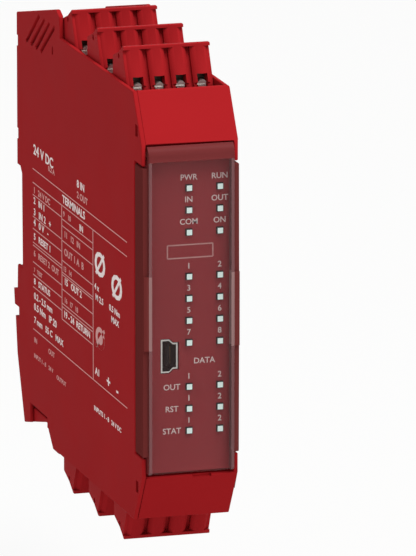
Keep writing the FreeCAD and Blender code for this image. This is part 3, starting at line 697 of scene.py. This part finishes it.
def painted(tree: NodeTree, geometry: NodeSocket, material: NodeSocket,
            selection: NodeSocket | None = None) -> NodeSocket:
    """Give geometry a material.

    Args:
        tree: Geometry tree that takes the node.
        geometry: What is painted.
        material: Its material.
        selection: Faces that take it, where not all of them do.

    Returns:
        The painted geometry.
    """
    links = {"Geometry": geometry, "Material": material}
    if selection is not None:
        links["Selection"] = selection
    return add_node(tree, "GeometryNodeSetMaterial", links=links).outputs["Geometry"]


def ruled_lines_tree() -> NodeTree:
    """Equal printed lines on the points of a grid.

    Returns:
        The tree, whose lines lie in its XY plane.
    """
    tree, given = new_tree("ruled_lines", {
        "Columns": "NodeSocketInt", "Rows": "NodeSocketInt", "Width": "NodeSocketFloat",
        "Height": "NodeSocketFloat", "Line Length": "NodeSocketFloat",
        "Line Height": "NodeSocketFloat", "Ink Thickness": "NodeSocketFloat",
        "Ink": "NodeSocketMaterial"})
    out = given.outputs
    grid = add_node(tree, "GeometryNodeMeshGrid", links={
        "Size X": out["Width"], "Size Y": out["Height"], "Vertices X": out["Columns"],
        "Vertices Y": out["Rows"]})
    lines = boxes_on_points(tree, grid.outputs["Mesh"],
                            (out["Line Length"], out["Line Height"], out["Ink Thickness"]))
    add_node(tree, "NodeGroupOutput", links={"Geometry": painted(tree, lines, out["Ink"])})
    return tree


def lamp_lens_tree() -> NodeTree:
    """Square light-pipe ends on points, each with a frosted face, sides in painted shade, and a
    thin dark box around it as a painted shadow of its gap.

    Returns:
        The tree, whose faces look to the front.
    """
    tree, given = new_tree("lamp_lenses", {
        "Geometry": "NodeSocketGeometry", "Side": "NodeSocketFloat", "Depth": "NodeSocketFloat",
        "Shadow Side": "NodeSocketFloat", "Shadow Depth": "NodeSocketFloat",
        "Face": "NodeSocketMaterial", "Painted Shade": "NodeSocketMaterial"})
    out = given.outputs
    normal = add_node(tree, "GeometryNodeInputNormal")
    parts = add_node(tree, "ShaderNodeSeparateXYZ", links={"Vector": normal.outputs["Normal"]})
    faces_front = add_node(tree, "ShaderNodeMath", {"operation": "LESS_THAN", 1: FRONT_FACING},
                           {0: parts.outputs["Y"]})
    lenses = boxes_on_points(tree, out["Geometry"], (out["Side"], out["Depth"], out["Side"]))
    flanks = painted(tree, lenses, out["Painted Shade"])
    fronts = painted(tree, flanks, out["Face"], faces_front.outputs["Value"])
    # Painted shadow of the gap: a thin box, wider than the end, in the same near-black material as
    # the sides
    rims = boxes_on_points(tree, out["Geometry"],
                           (out["Shadow Side"], out["Shadow Depth"], out["Shadow Side"]))
    both = add_node(tree, "GeometryNodeJoinGeometry", links={0: fronts})
    tree.links.new(painted(tree, rims, out["Painted Shade"]), both.inputs[0])
    add_node(tree, "NodeGroupOutput", links={"Geometry": both.outputs["Geometry"]})
    return tree


def on_print(place: tuple[float, float]) -> Matrix:
    """Move to a place of a print, with the ink's back on the printed face.

    Args:
        place: Place in millimetres along and up the face.

    Returns:
        The move, in the plane of the print.
    """
    return Matrix.Translation((place[0] * MM, place[1] * MM, INK_MM * MM / 2))


@dataclass(frozen=True)
class RuledLines:
    """Equal printed lines on a flat face, in millimetres along and up that face.

    Attributes:
        centre: Middle of the lines.
        length: Length of a line along the face.
        height: Its height up the face.
        span: Distance from the first to the last line's middle, along and up.
        count: Number of lines along and up.
        ink: Their ink.
    """

    centre: tuple[float, float]
    length: float
    height: float
    span: tuple[float, float] = (0.0, 0.0)
    count: tuple[int, int] = (1, 1)
    ink: Finish = FAINT_INK

    def mesh(self, tree: NodeTree) -> Mesh:
        """Lines in the plane of the print.

        Args:
            tree: Tree that draws them.

        Returns:
            Their mesh.
        """
        mesh = grown_mesh(tree, {
            "Columns": self.count[0], "Rows": self.count[1], "Width": self.span[0] * MM,
            "Height": self.span[1] * MM, "Line Length": self.length * MM,
            "Line Height": self.height * MM, "Ink Thickness": INK_MM * MM,
            "Ink": self.ink.build()})
        mesh.transform(on_print(self.centre))
        return mesh


@dataclass(frozen=True)
class Caption:
    """A plain word or number printed on a flat face, in millimetres along and up that face.

    Attributes:
        text: What it says.
        place: Its middle, or the middle of its left end.
        height: Height of a capital letter.
        ink: Its ink.
        align: CENTER or LEFT.
        wide: Width of the letters as a share of the font's own.
        bold: Growth of each stroke's edge as a share of the height.
    """

    text: str
    place: tuple[float, float]
    height: float
    ink: Finish
    align: str = "CENTER"
    wide: float = 1.0
    bold: float = 0.0

    def mesh(self) -> Mesh:
        """Letters in the plane of the print.

        Returns:
            Their mesh.
        """
        curve = bpy.data.curves.new(self.text, "FONT")
        curve.body = self.text
        curve.align_x = self.align
        curve.align_y = "CENTER"
        curve.size = self.height * MM / CAPITAL_SHARE
        curve.extrude = INK_MM * MM / 2
        curve.offset = self.bold * self.height * MM
        curve.resolution_u = LETTER_STEPS
        mesh = evaluated_mesh(new_object(self.text, curve))
        coat(mesh, self.ink)
        mesh.transform(on_print(self.place) @ Matrix.Diagonal((self.wide, 1, 1, 1)))
        return mesh


def joined(name: str, meshes: list[Mesh], turn: Matrix, origin: Vector) -> Mesh:
    """Join flat prints and lay them on a face.

    Args:
        name: Name of the joined mesh.
        meshes: Prints, each with one material or more.
        turn: Turn from the print's plane to the face.
        origin: Point of the face that the print is measured from.

    Returns:
        One mesh, in place.
    """
    work = bmesh.new()
    materials: list[Material] = []
    for mesh in meshes:
        first_face = len(work.faces)
        work.from_mesh(mesh)
        work.faces.ensure_lookup_table()
        for face in work.faces[first_face:]:
            material = mesh.materials[face.material_index]
            if material not in materials:
                materials.append(material)
            face.material_index = materials.index(material)
    result = bpy.data.meshes.new(name)
    work.to_mesh(result)
    work.free()
    for material in materials:
        result.materials.append(material)
    result.transform(Matrix.Translation(origin) @ turn.to_4x4())
    return result


@dataclass
class Housing:
    """Red shell of the module: the body moulding, the side wall and the print on that wall.

    Places of the print are in millimetres, from the rail forward and up from the wall's middle.
    """

    edges: SoftEdges = SoftEdges(radius_mm=0.32)
    rule_start: float = 13.9
    rule_end: float = 93.5
    first_column_end: float = 39.0
    second_column_end: float = 65.4
    table_top: float = 10.4
    head_height: float = 3.3
    table_low: float = -16.6
    foot_rule: float = -24.7
    left_rules: tuple[float, ...] = (7.5, 2.3, -0.6, -3.9, -4.6, -8.6, -11.6, -14.6)
    right_rules: tuple[float, ...] = (7.2, 5.6, 2.1, -2.6, -5.4, -6.0, -9.4, -12.8, -13.6, -16.6)
    rule_width: float = 0.22
    upright_width: float = 0.45
    letters_wide: float = 1.45
    letters_bold: float = 0.03

    def build(self) -> None:
        """Make the mouldings and print the wall."""
        self.edges.replace("housing_body", HOUSING_RED)
        self.edges.replace("side_cover", HOUSING_RED)
        self.print_wall()

    def rules(self) -> list[RuledLines]:
        """Lines of the printed table.

        Returns:
            The level rules from long to short, then the uprights.
        """
        start, first, second = self.rule_start, self.first_column_end, self.second_column_end
        long_levels = (self.table_top + self.head_height, self.table_top, self.foot_rule)
        level_rules = [(start, self.rule_end, level) for level in long_levels]
        level_rules += [(start, first, level) for level in self.left_rules]
        level_rules += [(first, second, level) for level in self.right_rules]
        lines = [RuledLines(((left + right) / 2, level), right - left, self.rule_width)
                 for left, right, level in level_rules]
        for place, low in ((first, self.table_low), (second, self.foot_rule)):
            lines.append(RuledLines((place, (self.table_top + low) / 2), self.upright_width,
                                    self.table_top - low))
        return lines

    def fine_print(self) -> list[Caption]:
        """Generic terminal names and ratings in the table's fields.

        Returns:
            The captions, field by field.
        """
        full, faint = WHITE_INK, FAINT_INK
        rows = (
            (14.6, 18.4, 2.3, "24 V DC", full), (27.5, 16.6, 1.2, "0.2 A", faint),
            (52.0, 18.3, 1.7, "8 IN", full), (52.0, 15.7, 1.5, "2 OUT", faint),
            (39.6, 12.0, 1.8, "TERMINALS", full), (14.6, 8.7, 1.4, "1   24 V DC", faint),
            (14.6, 6.2, 1.5, "2   IN 1", full), (14.6, 3.5, 1.6, "3   IN 2   +", full),
            (14.6, 1.0, 1.6, "4   0 V   -", full), (14.6, -2.4, 1.5, "5   RESET 1", full),
            (14.6, -6.4, 1.4, "6   RESET 2  OUT", faint), (14.6, -10.4, 1.0, "7   TEST", faint),
            (14.6, -13.1, 1.4, "8   STATUS", full), (40.2, 8.6, 1.2, "9    10", faint),
            (54.0, 8.4, 1.5, "IN", full), (41.0, 4.0, 1.4, "11   12   IN", faint),
            (41.0, -0.2, 1.6, "OUT 1 A  B", faint), (40.2, -4.3, 1.2, "13   14", faint),
            (41.0, -7.2, 1.5, "15   OUT 2", full), (41.0, -11.6, 1.2, "16   17   18", faint),
            (40.4, -15.0, 1.5, "19 - 24  RETURN", full), (14.6, -16.6, 1.5, "0.2 - 2.5 mm", full),
            (14.6, -19.2, 1.6, "0.5 Nm   IP 20", full),
            (14.6, -22.4, 1.5, "7 mm   55 C   MAX", full), (14.6, -27.2, 1.2, "IN", faint),
            (27.0, -27.0, 1.2, "OUT", faint), (14.4, -31.0, 1.0, "INPUT 1 - 8    24 V", faint),
            (34.0, -31.6, 1.0, "OUTPUT", faint),
            (66.0, -31.2, 1.1, "INPUTS 1 - 8   24 V DC", full), (66.6, 3.2, 5.4, "\u00d8", full),
            (80.5, 1.0, 5.4, "\u00d8", full), (66.6, -2.4, 1.4, "4 x", full),
            (67.4, -4.8, 1.4, "M 2.5", full), (78.8, -4.6, 1.4, "0.5 Nm", full),
            (80.5, -7.0, 1.4, "MAX", full), (67.0, -13.5, 6.0, "\u2205", faint),
            (67.0, -22.2, 1.6, "A1", full), (76.5, -22.4, 2.6, "+", full),
            (84.5, -22.6, 2.6, "-", full),
        )
        return [Caption(words, (start, level), height, ink, "LEFT", self.letters_wide,
                        self.letters_bold) for start, level, height, words, ink in rows]

    def print_wall(self) -> None:
        """Lay the print on the side wall."""
        low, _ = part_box("side_cover")
        tree = ruled_lines_tree()
        meshes = [rule.mesh(tree) for rule in self.rules()]
        meshes += [row.mesh() for row in self.fine_print()]
        wall = Vector((low.x, 0, LIFT))
        add_piece("side_print", joined("side_print", meshes, SIDE_WALL_TURN, wall), "housing")


@dataclass
class FrontCover:
    """Smoke-tinted lid over the lights, in millimetres from its middle.

    Attributes:
        edges: Rounding of the moulding.
        plate_half: Half width inside the outer edges.
        rim_half: Half width inside the rims.
        head_level: Level above which the lid thickens for its hinge.
        grip_half: Half height of the grips at the rims.
    """

    edges: SoftEdges = SoftEdges(radius_mm=0.22, shortest_mm=0.9)
    plate_half: float = 9.98
    rim_half: float = 9.25
    head_level: float = 34.6
    grip_half: float = 8.5

    def finish_of(self, face: MeshPolygon) -> Finish:
        """Finish of a face.

        Args:
            face: Face of the divided lid.

        Returns:
            The plate's finish; at an edge or over the hinge a copy with painted shade, at a rim or
            a grip a copy with a painted highlight.
        """
        across, level = abs(face.center.x) / MM, (face.center.z - LIFT) / MM
        if across > self.plate_half:
            return SMOKE_EDGE_PAINTED_SHADE
        if level > self.head_level:
            return SMOKE_HEAD_PAINTED_SHADE
        if across > self.rim_half:
            return SMOKE_GRIP_PAINTED_HIGHLIGHT if abs(level) < self.grip_half else SMOKE_RIM_PAINTED_HIGHLIGHT
        return SMOKE

    def divide(self, mesh: Mesh) -> None:
        """Cut the faces of the lid's mesh where its finish changes."""
        sides = (-self.plate_half, self.plate_half, -self.rim_half, self.rim_half)
        levels = (self.head_level, self.grip_half, -self.grip_half)
        cuts = [Vector((across * MM, 0, 0)) for across in sides]
        cuts += [Vector((0, 0, level * MM)) for level in levels]
        reach = self.edges.merge_mm * MM
        work = bmesh.new()
        work.from_mesh(mesh)
        for cut in cuts:
            bmesh.ops.bisect_plane(work, geom=[*work.verts, *work.edges, *work.faces], dist=reach,
                                   plane_co=cut + Vector((0, 0, LIFT)), plane_no=cut.normalized())
        bmesh.ops.remove_doubles(work, verts=work.verts, dist=reach)
        work.to_mesh(mesh)
        work.free()

    def build(self) -> None:
        """Make the lid, with painted shade over the hinge and at its edges, and painted highlights
        at its rims and grips.
        """
        finishes = [SMOKE, SMOKE_EDGE_PAINTED_SHADE, SMOKE_HEAD_PAINTED_SHADE, SMOKE_RIM_PAINTED_HIGHLIGHT, SMOKE_GRIP_PAINTED_HIGHLIGHT]
        lid = self.edges.replace("front_cover", SMOKE)
        for finish in finishes[1:]:
            lid.data.materials.append(finish.build())
        self.divide(lid.data)
        # Painted shade and painted highlights: each face takes its finish by its place on the lid
        for face in lid.data.polygons:
            face.material_index = finishes.index(self.finish_of(face))


@dataclass
class FrontPanel:
    """Panel behind the lid, with its light pipes, captions and service socket.

    Places are in millimetres from the panel's middle, and rows are counted in pitches.
    """

    edges: SoftEdges = SoftEdges(radius_mm=0.12, shortest_mm=0.5)
    lamp_side: float = 1.24
    lamp_proud: float = 0.57
    # Width of the painted shadow of the gap around each lamp end
    lamp_shadow_gap: float = 0.22
    lamp_pitch: float = 5.08
    lamp_columns: tuple[float, float] = (0.0, 7.2)
    state_rows: tuple[float, ...] = (5.5, 4.5, 3.5)
    input_rows: tuple[float, ...] = (1.5, 0.5, -0.5, -1.5)
    output_rows: tuple[float, ...] = (-3.5, -4.5, -5.5)
    caption_rise: float = 2.35
    caption_height: float = 1.3
    caption_bold: float = 0.015
    state_words: tuple[str, ...] = ("PWR", "RUN", "IN", "OUT", "COM", "ON")
    input_words: str = "12345678"
    output_words: tuple[str, ...] = ("OUT", "RST", "STAT")
    pair_words: str = "12"
    output_word_place: float = -4.0
    socket_word: str = "DATA"
    socket_word_place: tuple[float, float] = (3.6, -12.0)
    label_field: tuple[float, float, float, float] = (-5.0, 11.9, 5.6, 14.9)
    field_line: float = 0.3

    def build(self) -> None:
        """Make the panel, its lamps and print, and dress the socket."""
        self.edges.replace("front_panel", PANEL_RED)
        self.lamps()
        self.print_panel()
        # The light pipes take the same near-black painted shade as the ends' sides
        dress({"light_guide": GUIDE_SIDE_PAINTED_SHADE, "indicator_leds": LED_EPOXY, "front_board": BOARD_GREEN,
               "usb_shell": ZINC, "usb_tongue": BLACK_POLYESTER, "usb_contacts": GOLD})
        # Painted shade: every face of the shell that does not look to the front takes the
        # near-black finish
        shell = frame["nodes"]["usb_shell"].data
        shell.materials.append(SHELL_INSIDE_PAINTED_SHADE.build())
        for face in shell.polygons:
            face.material_index = int(face.normal.y > FRONT_FACING)

    def lamps(self) -> None:
        """Set a light-pipe end in each window."""
        low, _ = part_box("front_panel")
        rows = self.state_rows + self.input_rows + self.output_rows
        places = [(column * MM, low.y, row * self.lamp_pitch * MM + LIFT)
                  for row in rows for column in self.lamp_columns]
        points = bpy.data.meshes.new("lamp_points")
        points.from_pydata(places, [], [])
        # The ends' faces carry a painted glow; their sides and a thin sheet around each are near
        # black: painted shade and a painted shadow of the gap
        mesh = grown_mesh(lamp_lens_tree(), {
            "Side": self.lamp_side * MM, "Depth": 2 * self.lamp_proud * MM,
            "Shadow Side": (self.lamp_side + 2 * self.lamp_shadow_gap) * MM, "Shadow Depth": 2 * INK_MM * MM,
            "Face": GUIDE.build(), "Painted Shade": GUIDE_SIDE_PAINTED_SHADE.build()}, points)
        add_piece("lamp_lenses", mesh, "housing")

    def caption(self, text: str, place: tuple[float, float]) -> Caption:
        """One word or number in the panel's own ink, centred on a place."""
        return Caption(text, place, self.caption_height, PANEL_INK, bold=self.caption_bold)

    def over_lamps(self, rows: Iterable[float], words: Iterable[str]) -> list[Caption]:
        """One word or number over each lamp of some rows.

        Args:
            rows: The rows.
            words: What stands over their lamps, row by row.

        Returns:
            The captions.
        """
        places = [(column, row * self.lamp_pitch + self.caption_rise)
                  for row in rows for column in self.lamp_columns]
        return [self.caption(word, place) for word, place in zip(words, places)]

    def captions(self) -> list[Caption]:
        """All words and numbers beside the lamps and the socket."""
        found = self.over_lamps(self.state_rows, self.state_words)
        found += self.over_lamps(self.input_rows, self.input_words)
        for row, word in zip(self.output_rows, self.output_words):
            found.append(self.caption(word, (self.output_word_place, row * self.lamp_pitch)))
            found += self.over_lamps([row], self.pair_words)
        found.append(self.caption(self.socket_word, self.socket_word_place))
        return found

    def print_panel(self) -> None:
        """Print the captions and a blank field for the user's own marking."""
        low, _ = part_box("front_panel")
        tree = ruled_lines_tree()
        left, bottom, right, top = self.label_field
        width, height = right - left, top - bottom
        middle = ((left + right) / 2, (bottom + top) / 2)
        outline = [RuledLines(middle, width, self.field_line, (0, height), (1, 2)),
                   RuledLines(middle, self.field_line, height, (width, 0), (2, 1))]
        meshes = [line.mesh(tree) for line in outline]
        meshes += [caption.mesh() for caption in self.captions()]
        face = Vector((0, low.y, LIFT))
        add_piece("panel_print", joined("panel_print", meshes, PANEL_TURN, face), "housing")


@dataclass
class PlugTerminal:
    """One plug-in screw terminal with its fixed half."""

    level: Level
    row: Row
    edges: SoftEdges = SoftEdges(radius_mm=0.2, shortest_mm=0.8)

    def build(self) -> None:
        """Make the plug's moulding and dress its metal and its fixed half."""
        name = f"{self.level.value}_{self.row.value}"
        self.edges.replace(f"{name}_plug", PLUG_RED)
        # The clamps take the dark painted-shade metal
        dress({f"{name}_screws": ZINC, f"{name}_clamps": CLAMP_PAINTED_SHADE,
               f"{name}_header": BLACK_POLYESTER, f"{name}_pins": TIN})


@dataclass
class Electronics:
    """Boards and parts inside the housing."""

    finishes: dict[str, Finish] = field(default_factory=lambda: {
        "main_board": BOARD_GREEN, "upper_terminal_board": BOARD_GREEN,
        "lower_terminal_board": BOARD_GREEN, "logic_board": BOARD_GREEN,
        "board_connector": BLACK_POLYESTER, "processor_a": CHIP_EPOXY, "processor_b": CHIP_EPOXY,
        "supply_capacitors": ALUMINIUM, "supply_choke": CHIP_EPOXY, "output_drivers": CHIP_EPOXY,
        "input_couplers": CHIP_EPOXY})

    def build(self) -> None:
        """Dress every piece."""
        dress(self.finishes)


@dataclass
class RailFoot:
    """What meets the rail: the sprung catch and the bus socket."""

    catch_edges: SoftEdges = SoftEdges(radius_mm=0.25)
    socket_edges: SoftEdges = SoftEdges(radius_mm=0.15)
    coil_edges: SoftEdges = SoftEdges(radius_mm=0.05, sharpest=80.0)

    def spring(self) -> None:
        """Make the coil from the spring's mesh, on the spring's body, with a mesh of its own."""
        coil = add_piece("catch_spring_coil", self.coil_edges.mesh("catch_spring"),
                         body_of("catch_spring"), NICKEL)
        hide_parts("catch_spring")
        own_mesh(coil)

    def build(self) -> None:
        """Make the mouldings and dress the metal."""
        self.catch_edges.replace("rail_catch", BLACK_ACETAL)
        self.socket_edges.replace("bus_socket", BLACK_POLYESTER)
        dress({"bus_contacts": GOLD})
        self.spring()


def seen_share(tree: NodeTree) -> NodeSocket:
    """Tell rays that show the background: straight ones, reflections and those through glass.

    Args:
        tree: Shader tree that takes the nodes.

    Returns:
        One for such a ray, zero for one that only carries light.
    """
    path = add_node(tree, "ShaderNodeLightPath").outputs
    mirrored = add_node(tree, "ShaderNodeMath", {"operation": "MAXIMUM"},
                        {0: path["Is Glossy Ray"], 1: path["Is Transmission Ray"]})
    seen = add_node(tree, "ShaderNodeMath", {"operation": "MAXIMUM"},
                    {0: path["Is Camera Ray"], 1: mirrored.outputs["Value"]})
    return seen.outputs["Value"]


@dataclass
class Studio:
    """Camera at the photo's angle, soft light, pale floor and white surroundings.

    Angles are in degrees; azimuth 0 looks along +Y. module_pixel leads from the photo's middle
    to the module's middle, right and down, and focal_pixels is in the same pixels.
    key_direction leads from the module to the key lamp. floor_white is the share of plain white in
    what is seen of the floor.
    """

    azimuth: float = -15.93
    elevation: float = 13.15
    distance: float = 2.037
    focal_pixels: float = 8864.0
    module_pixel: tuple[float, float] = (-86.0, -21.94)
    module_middle: tuple[float, float] = (0.0, -0.05)
    sensor_mm: float = 36.0
    clip_end: float = 20.0
    floor_drop: float = 0.03
    floor_side: float = 6.0
    floor_colour: str = "#D2D2CF"
    floor_white: float = 0.9
    ambient: float = 0.68
    key_direction: tuple[float, float, float] = (0.3, -0.55, 1.2)
    key_distance: float = 1.6
    key_side: float = 0.9
    key_watts: float = 21.0

    @property
    def middle(self) -> Vector:
        """Middle of the module."""
        return Vector((*self.module_middle, LIFT))

    def build(self) -> None:
        """Set up the whole studio."""
        self.place_camera()
        self.light_world()
        self.hang_key()
        self.lay_floor()
        bpy.context.scene.view_settings.view_transform = "Standard"

    def place_camera(self) -> None:
        """Put the camera where the photo was taken from, aimed at the photo's middle."""
        turn, rise = math.radians(self.azimuth), math.radians(self.elevation)
        back = Vector((math.sin(turn) * math.cos(rise), -math.cos(turn) * math.cos(rise),
                       math.sin(rise)))
        right = Vector((0, 0, 1)).cross(back).normalized()
        up = back.cross(right)
        eye = self.middle + self.distance * back
        shift_right, shift_down = (pixels * self.distance / self.focal_pixels
                                   for pixels in self.module_pixel)
        target = self.middle - right * shift_right + up * shift_down
        lens = bpy.data.cameras.new("photo_camera")
        lens.sensor_fit = "HORIZONTAL"
        lens.sensor_width = self.sensor_mm
        lens.lens = self.focal_pixels * self.sensor_mm / IMAGE_WIDTH
        lens.clip_end = self.clip_end
        camera = new_object("photo_camera", lens)
        camera.location = eye
        camera.rotation_euler = (target - eye).to_track_quat("-Z", "Y").to_euler()
        bpy.context.scene.camera = camera

    def light_world(self) -> None:
        """Even light from all round, with white surroundings."""
        world = bpy.data.worlds.new("studio")
        tree = empty_tree(world)
        strength = add_node(tree, "ShaderNodeMapRange", {"To Min": self.ambient, "To Max": 1.0},
                            {"Value": seen_share(tree)})
        sky = add_node(tree, "ShaderNodeBackground", {"Color": (1, 1, 1, 1)},
                       {"Strength": strength.outputs["Result"]})
        add_node(tree, "ShaderNodeOutputWorld", links={"Surface": sky.outputs["Background"]})
        bpy.context.scene.world = world

    def hang_key(self) -> None:
        """One large soft lamp above and in front, a little to the right."""
        lamp = bpy.data.lights.new("key", "AREA")
        lamp.size = self.key_side
        lamp.energy = self.key_watts
        direction = Vector(self.key_direction).normalized()
        key = new_object("key", lamp)
        key.location = self.middle + direction * self.key_distance
        key.rotation_euler = (-direction).to_track_quat("-Z", "Y").to_euler()

    def lay_floor(self) -> None:
        """A pale floor a little below the module, which hangs on its rail."""
        level = CAD_BOX[0].z - self.floor_drop
        half = self.floor_side / 2
        mesh = bpy.data.meshes.new("floor")
        corners = [(x * half, y * half, level) for x, y in ((-1, -1), (1, -1), (1, 1), (-1, 1))]
        mesh.from_pydata(corners, [], [(0, 1, 2, 3)])
        floor = new_object("floor", mesh)
        material = bpy.data.materials.new("white_floor")
        tree = empty_tree(material)
        paint = add_node(tree, "ShaderNodeBsdfDiffuse", {"Color": linear(self.floor_colour)})
        white = add_node(tree, "ShaderNodeEmission", {"Color": (1, 1, 1, 1), "Strength": 1.0})
        share = add_node(tree, "ShaderNodeMath", {"operation": "MULTIPLY", 1: self.floor_white},
                         {0: seen_share(tree)})
        both = add_node(tree, "ShaderNodeMixShader", links={
            "Fac": share.outputs["Value"], 1: paint.outputs["BSDF"], 2: white.outputs["Emission"]})
        add_node(tree, "ShaderNodeOutputMaterial", links={"Surface": both.outputs["Shader"]})
        mesh.materials.append(material)


def main() -> None:
    """Build the module's looks piece by piece."""
    logging.basicConfig(level=logging.INFO, format="%(name)s: %(message)s")
    Housing().build()
    FrontCover().build()
    FrontPanel().build()
    for level in Level:
        for row in Row:
            PlugTerminal(level, row).build()
    Electronics().build()
    RailFoot().build()
    Studio().build()


if __name__ == "__main__":
    main()
